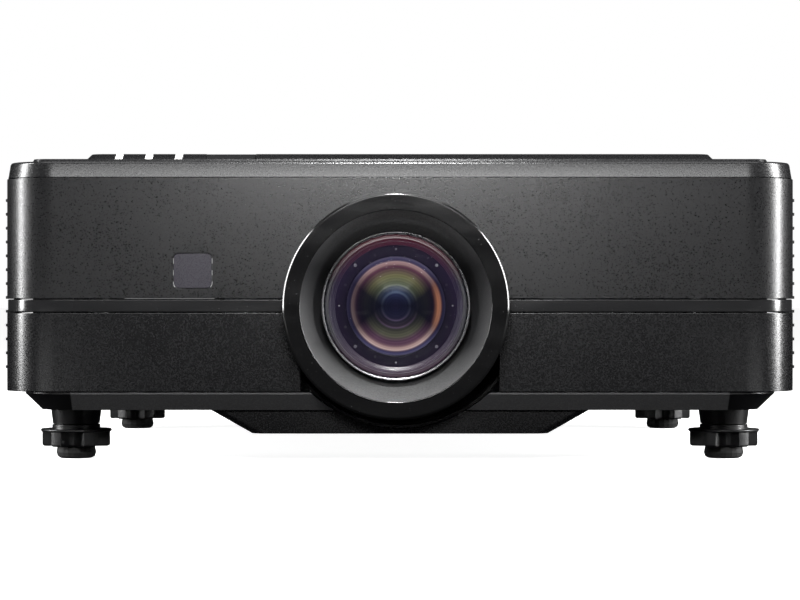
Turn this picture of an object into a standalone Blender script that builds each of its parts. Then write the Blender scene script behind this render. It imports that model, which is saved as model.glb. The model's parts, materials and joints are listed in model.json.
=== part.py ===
"""Installation laser projector: casing, feet, shifting zoom lens, keypad, sockets and insides.

Frame: metres, +Z up, +X to the right of someone facing the lens, the lens looks along -Y.
The origin is on the ground, in the middle of the whole projector's outline.
"""

import math

import bmesh
import bpy
from mathutils import Matrix, Vector

mm = 0.001

# ---- overall sizes -------------------------------------------------------------------------
BODY_WIDTH = 470 * mm  # across the casing, without the side louvres
OVERALL_DEPTH = 509 * mm  # from the lens ring's front to the casing's rear
RING_PROUD = 10 * mm  # lens ring in front of the fascia
LOUVRE_PROUD = 7 * mm
WALL = 2.5 * mm
SEAM = 0.5 * mm  # shadow gap between casing pieces
FIT = 0.3 * mm  # gap between pieces that touch
FRONT_Y = -OVERALL_DEPTH / 2 + RING_PROUD
REAR_Y = OVERALL_DEPTH / 2
SIDE_X = BODY_WIDTH / 2
FRONT_CORNER = 32 * mm
REAR_CORNER = 18 * mm
CORNER_STEPS = 5
RING_STEPS = 48
LENS_STEPS = 36
ROUND_STEPS = 20
SMALL_STEPS = 12
PAST = 3 * mm  # how far a cutter runs past the face it cuts

# ---- feet, from the ground up --------------------------------------------------------------
PAD_HEIGHT = 7.0 * mm
PAD_RADIUS = 12.1 * mm
PAD_FLAT_RADIUS = 9.5 * mm
PAD_STEM_RADIUS = 5.0 * mm
PAD_STEM_HEIGHT = 6.5 * mm
PAD_ROUNDING = 0.7 * mm  # how far its sides draw in at top and bottom
PAD_SOLE = 1.2 * mm
KNOB_HEIGHT = 10.5 * mm
KNOB_RADIUS = 21.6 * mm
KNOB_LIP = 1.6 * mm
KNOB_LOBE_RADIUS = 20.6 * mm
KNOB_POCKET = 7.0 * mm  # depth of the hollows between the lobes
KNOB_HUB_RADIUS = 12.8 * mm
KNOB_CHAMFER = 1.0 * mm
KNOB_LOBES = 6
KNOB_LOBE_STEPS = 6
LOBE_STEEPNESS = 3.0  # of the flanks between lobe and hollow
LOBE_FULLNESS = 0.8  # above 0 the lobes are wider than the hollows
COLLAR_HEIGHT = 2.6 * mm
COLLAR_RADIUS = 14.6 * mm
SOCKET_HEIGHT = 10.0 * mm
SOCKET_TOP_RADIUS = 15.7 * mm
SOCKET_END_RADIUS = 14.2 * mm
SOCKET_BOSS_RADIUS = 9.0 * mm
SOCKET_BOSS_HEIGHT = 16.0 * mm  # inside the tray, above its underside
SOCKET_STEPS = 18
STUD_RADIUS = 4.0 * mm
FOOT_SIDE_INSET = 38.0 * mm  # foot axis to the casing's side
FOOT_FRONT_INSET = 60.0 * mm
FOOT_REAR_INSET = 59.0 * mm
KNOB_BOTTOM = PAD_HEIGHT + FIT
COLLAR_BOTTOM = KNOB_BOTTOM + KNOB_HEIGHT
COLLAR_TOP = COLLAR_BOTTOM + COLLAR_HEIGHT
SOCKET_BOTTOM = COLLAR_TOP + SEAM

# ---- casing --------------------------------------------------------------------------------
TRAY_BOTTOM = SOCKET_BOTTOM + SOCKET_HEIGHT
TRAY_HEIGHT = 10.6 * mm
TRAY_TOP = TRAY_BOTTOM + TRAY_HEIGHT
TRAY_FLOOR = TRAY_BOTTOM + WALL
BARREL_RADIUS = 43.9 * mm  # the lens barrel settles the opening and the casing's height
OPENING_RADIUS = BARREL_RADIUS + 16.1 * mm  # in the fascia, behind the lens ring
RING_RADIUS = OPENING_RADIUS + 6.4 * mm
WELL_RADIUS = RING_RADIUS + 7.9 * mm  # dark throat behind the opening
MOUNT_FLANGE_RADIUS = BARREL_RADIUS + 8.1 * mm
LENS_Z = TRAY_FLOOR + MOUNT_FLANGE_RADIUS + 7.0 * mm  # room for the flange to shift down
OPENING_Z = LENS_Z + 1.9 * mm  # axis of the round opening in fascia and tray
TRAY_RIM = 1.0 * mm  # upright edge above the sloping wall
TRAY_FRONT_INSET = 1.5 * mm
TRAY_SIDE_INSET = 11.0 * mm
TRAY_SLOPE_RUN = 10.0 * mm
BELLY_DROP = 14.1 * mm
BELLY_TOP_HALF_WIDTH = 112.5 * mm
BELLY_END_HALF_WIDTH = 88 * mm
BELLY_START = 14.0 * mm
BELLY_LENGTH = 270 * mm
BELLY_END_SLOPE = 14 * mm
BELLY_CORNER = 8 * mm
BELLY_FLANK_WALL = WALL + 0.5 * mm  # measured level through the sloping flank
CASE_BOTTOM = TRAY_TOP + SEAM
LOWER_FASCIA_HEIGHT = 46.3 * mm
BAND_HEIGHT = 7.5 * mm
BAND_RECESS = 0.5 * mm
LOWER_FASCIA_TOP = CASE_BOTTOM + LOWER_FASCIA_HEIGHT
BAND_BOTTOM = LOWER_FASCIA_TOP + SEAM
BAND_TOP = BAND_BOTTOM + BAND_HEIGHT
UPPER_FASCIA_BOTTOM = BAND_TOP + SEAM
CASE_TOP = OPENING_Z + WELL_RADIUS - 0.9 * mm  # the throat just reaches into the lid
FASCIA_RETURN = 58 * mm  # how far the fascia runs back along the sides
REAR_RETURN = 30 * mm
FLANGE_DEPTH = 16 * mm  # side panel's inward foot over the tray
FLANGE_THICKNESS = 2 * mm
LID_BOTTOM = CASE_TOP + SEAM
LID_HEIGHT = 9.2 * mm
LID_INSET = 0.7 * mm
LID_FRONT_LEAN = 1.7 * mm
LID_SIDE_LEAN = 1.5 * mm
LID_EDGE = 1.5 * mm  # fillet of the lid's upper edge
DECK_Z = LID_BOTTOM + LID_HEIGHT
PLATFORM_RISE = 3.3 * mm
PLATFORM_SIDE_INSET = 12.0 * mm
PLATFORM_FRONT = 38 * mm  # behind the fascia's face
PLATFORM_REAR_INSET = 24 * mm
PLATFORM_SLOPE_RUN = 2 * mm
PLATFORM_CORNER = 10 * mm
PLATFORM_Z = DECK_Z + PLATFORM_RISE
PLATE_BOTTOM = PLATFORM_Z + FIT
PLATE_THICKNESS = 4.0 * mm
PLATE_TOP = PLATE_BOTTOM + PLATE_THICKNESS
PLATE_SKIN = 2.0 * mm
PLATE_HALF_WIDTH = 191.5 * mm
PLATE_FRONT = 55 * mm
PLATE_REAR_INSET = 70 * mm
PLATE_SLOPE_RUN = 10.0 * mm
PLATE_SIDE_RUN = 2.5 * mm
PLATE_CORNER = 8 * mm

# ---- ceiling mount and the screw under the tray --------------------------------------------
BOSS_HALF_SPACING = 160 * mm
BOSS_FRONT = 125 * mm
BOSS_REAR = 425 * mm
BOSS_RADIUS = 8 * mm
MOUNT_PAD_RADIUS = 12 * mm
MOUNT_PAD_DROP = 0.6 * mm
BOSS_HOLE_RADIUS = 3.1 * mm
BOSS_HEIGHT = 14 * mm
SCREW_X = 130 * mm
SCREW_BACK = 125 * mm
SCREW_HEAD_RADIUS = 8 * mm
SCREW_HEAD_HEIGHT = 2.2 * mm
SCREW_SHANK_RADIUS = 2.5 * mm
SCREW_SHANK_LENGTH = 10 * mm

# ---- lens ----------------------------------------------------------------------------------
OPENING_STEPS = 56
WELL_WALL = 1.5 * mm
WELL_FRONT = 14.5 * mm
WELL_BACK = 52 * mm
WELL_HOLE_RADIUS = BARREL_RADIUS + 10.1 * mm  # the barrel shifts in it
NOTCH_HALF_WIDTH = OPENING_RADIUS - 1.7 * mm
BAND_END = OPENING_RADIUS + 0.5 * mm
LENS_X = -2.4 * mm
RING_EDGE = 1.2 * mm  # bevel round the ring's outer edge
RING_BAND_INNER = RING_RADIUS - 10.2 * mm
RING_CONE_END = 8 * mm
RING_SKIN = 2.2 * mm
RING_BACK_GAP = 1.2 * mm  # between the ring's back edge and the fascia
RING_TUBE_END = 22 * mm
BARREL_WALL = 1.7 * mm
BARREL_FRONT = 1.0 * mm
RING_THROAT_RADIUS = BARREL_RADIUS + FIT
MOUNT_FLANGE_THICKNESS = 3.7 * mm
SHIFT_PLATE_THICKNESS = 4.0 * mm
SHIFT_START = 62 * mm  # front of the vertical shift plate
SHIFT_V_HALF = (60 * mm, 54 * mm)
SHIFT_H_HALF = (70 * mm, 56 * mm)
FRAME_HALF_WIDTH = 88 * mm
FRAME_THICKNESS = 4.0 * mm
FRAME_TOP = CASE_TOP - 8 * mm
TRAVEL_ROOM = 9 * mm  # round the rear barrel in the plates that it moves past
REAR_BARREL_RADIUS = 38 * mm
ZOOM_BORE_RADIUS = 33.3 * mm
REAR_BORE_START = 54 * mm
GEAR_START = 84.5 * mm
GEAR_WIDTH = 7 * mm
EAR_START = GEAR_START + GEAR_WIDTH + FIT
EAR_THICKNESS = 3 * mm
EAR_HALF_WIDTH = 11 * mm
FOCUS_CELL_RADIUS = BARREL_RADIUS - BARREL_WALL - FIT
FOCUS_CELL_START = 4 * mm
FOCUS_CELL_END = 34 * mm
FRONT_GLASS_RADIUS = 39.5 * mm
FRONT_GLASS_RIM = (5 * mm, 8 * mm)  # front and back of its rim
FRONT_GLASS_SEAT = 1.2 * mm  # width of the ledge behind its rim
FRONT_GLASS_BULGE = 6.5 * mm
FRONT_GLASS_HOLLOW = 4.5 * mm
CONE_STEPS = 3
GLASS_STEPS = 4
RETAINER_OUTER = 36.0 * mm
RETAINER_INNER = 29.3 * mm
RETAINER_FACE = 14.0 * mm
RETAINER_THICKNESS = 1.5 * mm
INNER_GLASS_RADIUS = 29.9 * mm
INNER_GLASS_RIM = (16.2 * mm, 26.7 * mm)
INNER_GLASS_BULGE = 7.0 * mm
INNER_STOP_RADIUS = 27 * mm
ZOOM_CELL_START = 60 * mm
ZOOM_CELL_LENGTH = 15 * mm
ZOOM_CELL_RADIUS = ZOOM_BORE_RADIUS - FIT
ZOOM_GLASS_RADIUS = 28 * mm
ZOOM_GLASS_BULGE = 4 * mm
GEAR_MODULE = 1.4 * mm
GEAR_TIP = 0.85  # above the pitch circle, in modules
GEAR_ROOT = 1.15  # below it
TOOTH_TIP_SHARE = 0.11  # half a tooth's width at tip and root, as shares of the pitch
TOOTH_ROOT_SHARE = 0.33
RING_GEAR_TEETH = 60
PINION_TEETH = 10
PINION_SHAFT_RADIUS = 1.5 * mm
ZOOM_MOTOR_RADIUS = 8 * mm
ZOOM_MOTOR_LENGTH = 24 * mm
MOTOR_BORE_DEPTH = 8 * mm
GEAR_DISTANCE = GEAR_MODULE * (RING_GEAR_TEETH + PINION_TEETH) / 2

# ---- front, top and keypad details ---------------------------------------------------------
SENSOR_X = -121.6 * mm
SENSOR_Z = CASE_BOTTOM + 71 * mm
SENSOR_SIZE = (22.4 * mm, 20.4 * mm)
SENSOR_CORNER = 3 * mm
SENSOR_THICKNESS = 2.0 * mm
SENSOR_RECESS = 0.4 * mm
LIGHT_WIDTH = 4.3 * mm
LIGHT_PITCH = 18.15 * mm
LIGHT_FIRST_X = -171.0 * mm
LIGHT_COUNT = 3
LIGHT_REACH = 6 * mm  # behind the top of the slope
TOP_SENSOR_X = (-117.8 * mm, -88.0 * mm)
KEYPAD_X = -128 * mm
KEYPAD_REAR = 150 * mm  # keypad centre, in front of the casing's rear
KEY_PITCH = 17 * mm
KEY_SIZE = 10 * mm
KEY_CORNER = 2 * mm
KEY_TRAVEL = 1.2 * mm
KEY_BELOW_PLATE = 0.2 * mm
KEY_STEM_RADIUS = 2.0 * mm
KEY_STOP_RADIUS = 3.5 * mm
KEY_STOP_THICKNESS = 1.0 * mm

# ---- side louvres --------------------------------------------------------------------------
LOUVRE_COUNT = 13
LOUVRE_PITCH = 8.5 * mm
LOUVRE_THICKNESS = 1.8 * mm
LOUVRE_LOW_Z = CASE_BOTTOM + 13.0 * mm
LOUVRE_END_INSET = 6 * mm
LOUVRE_TAPER = 9 * mm
MULLION_WIDTH = 8 * mm
WINDOW_COUNT = 4
WINDOW_END_INSET = 18 * mm
WINDOW_MARGIN = 4 * mm

# ---- rear ----------------------------------------------------------------------------------
IO_X = (-130 * mm, 176 * mm)
IO_Z = (CASE_BOTTOM + 10 * mm, CASE_BOTTOM + 104 * mm)
IO_LAP = 5 * mm
IO_THICKNESS = 1.5 * mm
BOARD_Z = CASE_BOTTOM + 66 * mm  # underside of the main board
BOARD_THICKNESS = 1.6 * mm
BOARD_X = (-118 * mm, 80 * mm)
BOARD_LENGTH = 120 * mm
PORT_FACE = 1.0 * mm  # ports stop this far inside the casing's rear
PORT_DEPTH = 18 * mm
PORT_WALL = 1.2 * mm
INLET_X = 132 * mm
INLET_Z = CASE_BOTTOM + 34 * mm
INLET_SOCKET = (24.5 * mm, 16.5 * mm)
INLET_SIZE = (58 * mm, 27 * mm)
INLET_DEPTH = 26 * mm
INLET_POCKET = 17 * mm
INLET_SOCKET_SHIFT = -12 * mm
ROCKER_SHIFT = 18 * mm
ROCKER_WIDTH = 12 * mm
ROCKER_HALF_HEIGHT = 9 * mm
ROCKER_POCKET = 12 * mm
ROCKER_TILT = 9.0  # degrees each side of level
ROCKER_LOW = 2.2 * mm  # its face below the pocket's rim
ROCKER_DISH = 1.2 * mm
ROCKER_EDGE = 1.0 * mm
INLET_CORNERS = (4 * mm, 1 * mm)  # lower and upper corners of the inlet's pocket
INLET_PINS = ((-7 * mm, -2 * mm), (7 * mm, -2 * mm), (0, 2 * mm))
PORTS = {  # name: centre across, width, height, whether a tongue stands in it
    "hdmi_port": (-90 * mm, 17 * mm, 7.6 * mm, True),
    "network_jack": (-52 * mm, 17 * mm, 14.5 * mm, False),
    "serial_port": (-5 * mm, 32 * mm, 13 * mm, True),
}
PORT_CLEAR = 5 * mm  # tongues and pins stop this far inside the port's face
PORT_FACE_Y = REAR_Y - PORT_FACE
TONGUE_THICKNESS = 1.6 * mm
TONGUE_SHARE = 0.8  # of the port's inner width
PIN_HALF = (1.0 * mm, 2.0 * mm)
EXHAUST_COUNT = 7
EXHAUST_PITCH = 9 * mm
EXHAUST_SLOT = (70 * mm, 4 * mm)
EXHAUST_X = -178 * mm

# ---- insides -------------------------------------------------------------------------------
ENGINE_HALF_WIDTH = 57 * mm
ENGINE_START = 106 * mm  # behind the fascia's face
ENGINE_LENGTH = 110 * mm
ENGINE_PORT_RADIUS = 22 * mm
ENGINE_HEIGHT = LENS_Z - TRAY_FLOOR + ENGINE_PORT_RADIUS + 3 * mm
ENGINE_PORT_DEPTH = 20 * mm
WHEEL_X = 18 * mm
WHEEL_Z = 84 * mm
WHEEL_RADIUS = 30 * mm
WHEEL_HUB_RADIUS = 9 * mm
WHEEL_THICKNESS = 1.5 * mm
WHEEL_STANDOFF = 4 * mm  # disc behind the engine's rear face
WHEEL_SHAFT_RADIUS = 3 * mm
WHEEL_SHAFT_LENGTH = 10 * mm
SINK_X = (-60 * mm, 60 * mm)
SINK_START = 245 * mm
SINK_LENGTH = 90 * mm
SINK_BASE = 12 * mm
SINK_HEIGHT = 60 * mm
FIN_COUNT = 9
FIN_THICKNESS = 2.5 * mm
SUPPLY_X = (100 * mm, 186 * mm)
SUPPLY_START = 215 * mm
SUPPLY_LENGTH = 190 * mm
SUPPLY_HEIGHT = 52 * mm
SUPPLY_VENTS = 6
SUPPLY_MARGIN = 10 * mm  # between vent ends and the box's sides
CHIPS = (  # x, distance in front of the board's rear edge, half width, height
    (-70 * mm, 60 * mm, 18 * mm, 12 * mm),
    (-10 * mm, 70 * mm, 14 * mm, 3 * mm),
    (40 * mm, 80 * mm, 12 * mm, 8 * mm),
)
FAN_SIZE = 92 * mm
FAN_DEPTH = 25 * mm
FAN_BORE = 43.5 * mm
FAN_HUB = 18 * mm
FAN_TIP_GAP = 1.5 * mm
FAN_BLADES = 7
FAN_CORNER = 5 * mm
BLADE_THICKNESS = 2 * mm
BLADE_SKEW = (7.1 * mm, 10.8 * mm)  # sideways reach of a blade's edges at its root and tip
FAN_MOUNT = 3 * mm  # thickness of the spider that carries the rotor
FAN_BACK = 170 * mm  # fan axis behind the fascia
FAN_Z = (CASE_BOTTOM + CASE_TOP) / 2
MERGE = 1e-6


# ---- materials -----------------------------------------------------------------------------
def material(name, colour, roughness, metallic=0.0):
    made = bpy.data.materials.new(name)
    made.use_nodes = True
    shader = made.node_tree.nodes["Principled BSDF"]
    shader.inputs["Base Color"].default_value = (*colour, 1)
    shader.inputs["Roughness"].default_value = roughness
    shader.inputs["Metallic"].default_value = metallic
    return made


# ---- shape helpers -------------------------------------------------------------------------
def arc(cx, cy, radius, start, end, steps):
    """Points of an arc, angles in degrees, both ends included."""
    turns = [math.radians(start + (end - start) * i / steps) for i in range(steps + 1)]
    return [(cx + radius * math.cos(t), cy + radius * math.sin(t)) for t in turns]


def rounded_outline(x0, x1, y0, y1, front_radius, rear_radius=None, steps=CORNER_STEPS):
    """A rectangle with round corners, anticlockwise; y0 is the front."""
    rear_radius = front_radius if rear_radius is None else rear_radius
    f, r = front_radius, rear_radius
    return (
        arc(x0 + f, y0 + f, f, 180, 270, steps)
        + arc(x1 - f, y0 + f, f, 270, 360, steps)
        + arc(x1 - r, y1 - r, r, 0, 90, steps)
        + arc(x0 + r, y1 - r, r, 90, 180, steps)
    )


def placed(a, b, c, axis):
    """A point from two outline coordinates and a distance along axis."""
    return {"X": (c, a, b), "Y": (a, c, b), "Z": (a, b, c)}[axis]


def add_prism(bm, outline, low, high, axis="Z"):
    verts = [bm.verts.new(placed(a, b, low, axis)) for a, b in outline]
    face = bm.faces.new(verts)
    made = bmesh.ops.extrude_face_region(bm, geom=[face])
    moved = [v for v in made["geom"] if isinstance(v, bmesh.types.BMVert)]
    step = placed(0, 0, high - low, axis)
    bmesh.ops.translate(bm, verts=moved, vec=step)


def prism(outline, low, high, axis="Z"):
    bm = bmesh.new()
    add_prism(bm, outline, low, high, axis)
    return bm


def add_box(bm, x, y, z):
    """A box from three (low, high) pairs."""
    outline = [(x[0], y[0]), (x[1], y[0]), (x[1], y[1]), (x[0], y[1])]
    add_prism(bm, outline, z[0], z[1])


def boxes(*spans):
    bm = bmesh.new()
    for x, y, z in spans:
        add_box(bm, x, y, z)
    return bm


def add_turned(bm, profile, steps, axis="Y", ring=True, centre=(0, 0, 0)):
    """Spins a profile of (radius, distance along axis); without ring its ends lie on the axis."""
    along = {"X": (1, 0, 0), "Y": (0, 1, 0), "Z": (0, 0, 1)}[axis]
    at = {
        "X": lambda r, t: (t, r, 0),
        "Y": lambda r, t: (r, t, 0),
        "Z": lambda r, t: (r, 0, t),
    }[axis]
    points = [bm.verts.new([p + q for p, q in zip(at(r, t), centre)]) for r, t in profile]
    pairs = list(zip(points, points[1:])) + ([(points[-1], points[0])] if ring else [])
    edges = [bm.edges.new(pair) for pair in pairs]
    bmesh.ops.spin(
        bm,
        geom=points + edges,
        cent=centre,
        axis=along,
        angle=2 * math.pi,
        steps=steps,
        use_merge=True,
    )


def turned(profile, steps, axis="Y", ring=True, centre=(0, 0, 0)):
    bm = bmesh.new()
    add_turned(bm, profile, steps, axis, ring, centre)
    return bm


def add_rod(bm, radius, low, high, axis, centre=(0, 0, 0), steps=ROUND_STEPS):
    add_turned(bm, [(0, low), (radius, low), (radius, high), (0, high)], steps, axis, False, centre)


def rod(radius, low, high, axis, centre=(0, 0, 0), steps=ROUND_STEPS):
    bm = bmesh.new()
    add_rod(bm, radius, low, high, axis, centre, steps)
    return bm


def add_loft(bm, sections):
    """A closed solid through loops of equal length, each a list of points; the ends are capped."""
    loops = [[bm.verts.new(point) for point in section] for section in sections]
    for lower, upper in zip(loops, loops[1:]):
        for i in range(len(lower)):
            bm.faces.new((lower[i - 1], lower[i], upper[i], upper[i - 1]))
    bm.faces.new(loops[0])
    bm.faces.new(loops[-1])


def loft(sections):
    bm = bmesh.new()
    add_loft(bm, sections)
    return bm


def piece(name, bm, finish, location=(0, 0, 0), smooth=32, parent=None):
    """A bmesh made into a named object with its material; location is where its own origin goes."""
    bmesh.ops.remove_doubles(bm, verts=bm.verts, dist=MERGE)
    bmesh.ops.recalc_face_normals(bm, faces=bm.faces)
    mesh = bpy.data.meshes.new(name)
    bm.to_mesh(mesh)
    bm.free()
    if finish:
        mesh.materials.append(finish)
    mesh.shade_smooth()
    mesh.set_sharp_from_angle(angle=math.radians(smooth))
    made = bpy.data.objects.new(name, mesh)
    bpy.context.scene.collection.objects.link(made)
    made.location = location
    made.parent = parent
    return made


def helper(bm, location=(0, 0, 0), parent=None):
    """A cutter or a shape to be joined, left out of renders."""
    made = piece("helper", bm, None, location, parent=parent)
    made.hide_render = True
    made.display_type = "WIRE"
    return made


def boolean(target, tool, operation):
    added = target.modifiers.new(operation.title(), "BOOLEAN")
    added.operation = operation
    added.solver = "EXACT"
    added.object = tool
    return target


def cut(target, bm, location=(0, 0, 0), parent=None):
    return boolean(target, helper(bm, location, parent), "DIFFERENCE")


def join(target, bm, location=(0, 0, 0), parent=None):
    return boolean(target, helper(bm, location, parent), "UNION")


def pivot(name, location, parent=None):
    """An empty on a joint's axis; what moves with the joint is parented to it."""
    made = bpy.data.objects.new(name, None)
    made.location = location
    made.parent = parent
    bpy.context.scene.collection.objects.link(made)
    return made


def back(distance):
    """World Y of a point that far behind the fascia's face."""
    return FRONT_Y + distance


def body_outline(front, side, rear):
    """The casing's outline in plan, drawn in by these distances."""
    corner = FRONT_CORNER - min(front, side)
    return rounded_outline(
        -SIDE_X + side,
        SIDE_X - side,
        FRONT_Y + front,
        REAR_Y - rear,
        corner,
        REAR_CORNER - min(rear, side),
    )


def at_height(outline, z):
    return [(x, y, z) for x, y in outline]


def foot_places():
    """Name and plan position of each foot's axis."""
    x = SIDE_X - FOOT_SIDE_INSET
    front, rear = back(FOOT_FRONT_INSET), REAR_Y - FOOT_REAR_INSET
    return [
        ("front_left", -x, front),
        ("front_right", x, front),
        ("rear_left", -x, rear),
        ("rear_right", x, rear),
    ]


def boss_places():
    """Ceiling-mount holes under the tray."""
    sides = (-BOSS_HALF_SPACING, BOSS_HALF_SPACING)
    return [(x, back(y)) for x in sides for y in (BOSS_FRONT, BOSS_REAR)]


def opening_cutter(radius, start, end):
    return rod(radius, back(start), back(end), "Y", (0, 0, OPENING_Z), OPENING_STEPS)


# ---- casing --------------------------------------------------------------------------------
def base_tray(finish):
    """Shallow tray with sloping walls, foot sockets and ceiling-mount bosses."""
    front, side, run = TRAY_FRONT_INSET, TRAY_SIDE_INSET, TRAY_SLOPE_RUN

    def outline(extra, z):
        return at_height(body_outline(front + extra, side + extra, front + extra), z)

    shell = [outline(run, TRAY_BOTTOM), outline(0, TRAY_TOP - TRAY_RIM), outline(0, TRAY_TOP)]
    tray = piece("base_tray", loft(shell), finish)
    hollow = [
        outline(run + WALL, TRAY_FLOOR),
        outline(WALL, TRAY_TOP - TRAY_RIM),
        outline(WALL, TRAY_TOP + PAST),
    ]
    cut(tray, loft(hollow))
    bosses = bmesh.new()
    boss_top = TRAY_BOTTOM + SOCKET_BOSS_HEIGHT
    for _, x, y in foot_places():
        profile = [
            (0, SOCKET_BOTTOM),
            (SOCKET_END_RADIUS, SOCKET_BOTTOM),
            (SOCKET_TOP_RADIUS, TRAY_BOTTOM + WALL / 2),
            (SOCKET_BOSS_RADIUS, TRAY_BOTTOM + WALL / 2),
            (SOCKET_BOSS_RADIUS, boss_top),
            (0, boss_top),
        ]
        add_turned(bosses, profile, SOCKET_STEPS, "Z", False, (x, y, 0))
    mount_top = TRAY_BOTTOM + BOSS_HEIGHT
    inside, pad_low = TRAY_BOTTOM + WALL / 2, TRAY_BOTTOM - MOUNT_PAD_DROP
    profile = [
        (0, pad_low),
        (MOUNT_PAD_RADIUS, pad_low),
        (MOUNT_PAD_RADIUS, inside),
        (BOSS_RADIUS, inside),
        (BOSS_RADIUS, mount_top),
        (0, mount_top),
    ]
    for x, y in boss_places():
        add_turned(bosses, profile, ROUND_STEPS, "Z", False, (x, y, 0))
    screw_place = (SCREW_X, back(SCREW_BACK), 0)
    add_rod(bosses, BOSS_RADIUS, inside, mount_top, "Z", screw_place, SMALL_STEPS)
    join(tray, bosses)
    holes = bmesh.new()
    bores = [(x, y, STUD_RADIUS + FIT, boss_top - WALL) for _, x, y in foot_places()]
    bores += [(x, y, BOSS_HOLE_RADIUS, mount_top - WALL) for x, y in boss_places()]
    bores += [(SCREW_X, back(SCREW_BACK), SCREW_SHANK_RADIUS + FIT, mount_top - WALL)]
    for x, y, radius, top in bores:
        add_rod(holes, radius, SOCKET_BOTTOM - PAST, top, "Z", (x, y, 0), SMALL_STEPS)
    cut(tray, holes)
    cut(tray, opening_cutter(WELL_RADIUS + FIT, -PAST, WELL_BACK + FIT))
    return tray


def cover_screw(finish):
    """Large-headed screw under the tray, shown by its head."""
    head_top = TRAY_BOTTOM - FIT
    head_low = head_top - SCREW_HEAD_HEIGHT
    profile = [
        (0, head_low),
        (SCREW_HEAD_RADIUS - SCREW_HEAD_HEIGHT / 2, head_low),
        (SCREW_HEAD_RADIUS, head_low + SCREW_HEAD_HEIGHT / 2),
        (SCREW_HEAD_RADIUS, head_top),
        (SCREW_SHANK_RADIUS, head_top),
        (SCREW_SHANK_RADIUS, head_top + SCREW_SHANK_LENGTH),
        (0, head_top + SCREW_SHANK_LENGTH),
    ]
    place = (SCREW_X, back(SCREW_BACK), 0)
    return piece("cover_screw", turned(profile, ROUND_STEPS, "Z", False, place), finish)


def belly_cover(finish):
    """Deeper cover under the lens and light engine, with sloping flanks."""

    def section(z, half_width, start, end, inset):
        outline = rounded_outline(
            -half_width + inset,
            half_width - inset,
            back(start) + inset,
            back(end) - inset,
            BELLY_CORNER - inset,
            steps=3,
        )
        return at_height(outline, z)

    top, bottom = TRAY_BOTTOM - FIT, TRAY_BOTTOM - BELLY_DROP
    end = BELLY_START + BELLY_LENGTH
    wide, narrow, low_end = BELLY_TOP_HALF_WIDTH, BELLY_END_HALF_WIDTH, end - BELLY_END_SLOPE
    shell = [section(bottom, narrow, BELLY_START, low_end, 0), section(top, wide, BELLY_START, end, 0)]
    cover = piece("belly_cover", loft(shell), finish)
    hollow = [
        section(bottom + WALL, narrow, BELLY_START, low_end, WALL),
        section(top, wide, BELLY_START, end, BELLY_FLANK_WALL),
        section(top + PAST, wide, BELLY_START, end, BELLY_FLANK_WALL),
    ]
    cut(cover, loft(hollow))
    cut(cover, opening_cutter(WELL_RADIUS + FIT, -PAST, WELL_BACK + FIT))
    return cover


def wrap_outline(y_end, corner, sign, inset=0.0, thickness=WALL):
    """U-shaped wall round the front (sign 1) or the rear (sign -1) of the casing, in plan."""
    face = (FRONT_Y if sign > 0 else REAR_Y) + sign * inset
    x = SIDE_X - inset
    radius, thin = corner - inset, corner - inset - thickness
    centre_y = face + sign * radius
    outer = [(-x, y_end)]
    outer += arc(-x + radius, centre_y, radius, 180, 180 + sign * 90, CORNER_STEPS)
    outer += arc(x - radius, centre_y, radius, -sign * 90, 0, CORNER_STEPS)
    outer += [(x, y_end), (x - thickness, y_end)]
    inner = arc(x - radius, centre_y, thin, 0, -sign * 90, CORNER_STEPS)
    inner += arc(-x + radius, centre_y, thin, 180 + sign * 90, 180, CORNER_STEPS)
    return outer + inner + [(-x + thickness, y_end)]


def half_wrap_outline(side, x_end, y_end, inset=0.0, thickness=WALL):
    """L-shaped wall round one front corner, from x_end on the front to y_end on the side."""
    face, x = FRONT_Y + inset, SIDE_X - inset
    radius, thin = FRONT_CORNER - inset, FRONT_CORNER - inset - thickness
    outer = [(x_end, face)] + arc(x - radius, face + radius, radius, -90, 0, CORNER_STEPS) + [(x, y_end)]
    inner = [(x - thickness, y_end)] + arc(x - radius, face + radius, thin, 0, -90, CORNER_STEPS)
    outline = outer + inner + [(x_end, face + thickness)]
    return [(side * a, b) for a, b in outline]


def front_fascias(panel, gloss):
    """Upper fascia, and the band and the lower fascia on each side of the lens."""
    end = back(FASCIA_RETURN)
    outline = wrap_outline(end, FRONT_CORNER, 1)
    upper = piece("front_upper_fascia", prism(outline, UPPER_FASCIA_BOTTOM, CASE_TOP), panel)
    cut(upper, opening_cutter(OPENING_RADIUS, -PAST, WALL + PAST))
    cut(upper, prism(sensor_outline(FIT), back(-PAST), back(WALL + PAST), "Y"))
    for side, name in ((-1, "left"), (1, "right")):
        band = half_wrap_outline(side, BAND_END, end, BAND_RECESS)
        piece(f"accent_band_{name}", prism(band, BAND_BOTTOM, BAND_TOP), gloss)
        lower = half_wrap_outline(side, NOTCH_HALF_WIDTH, end)
        fascia = piece(f"lower_fascia_{name}", prism(lower, CASE_BOTTOM, LOWER_FASCIA_TOP), panel)
        flange = half_wrap_outline(side, NOTCH_HALF_WIDTH + WALL, end - WALL, WALL / 2, FLANGE_DEPTH)
        join(fascia, prism(flange, CASE_BOTTOM, CASE_BOTTOM + FLANGE_THICKNESS))
        cut(fascia, opening_cutter(OPENING_RADIUS, -PAST, WALL + PAST))


def sensor_outline(room):
    half_x, half_z = SENSOR_SIZE[0] / 2 + room, SENSOR_SIZE[1] / 2 + room
    x, z = (SENSOR_X - half_x, SENSOR_X + half_x), (SENSOR_Z - half_z, SENSOR_Z + half_z)
    return rounded_outline(*x, *z, SENSOR_CORNER + room, steps=4)


def front_ir_window(finish):
    start = back(SENSOR_RECESS)
    pane = prism(sensor_outline(0), start, start + SENSOR_THICKNESS, "Y")
    return piece("front_ir_window", pane, finish)


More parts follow.
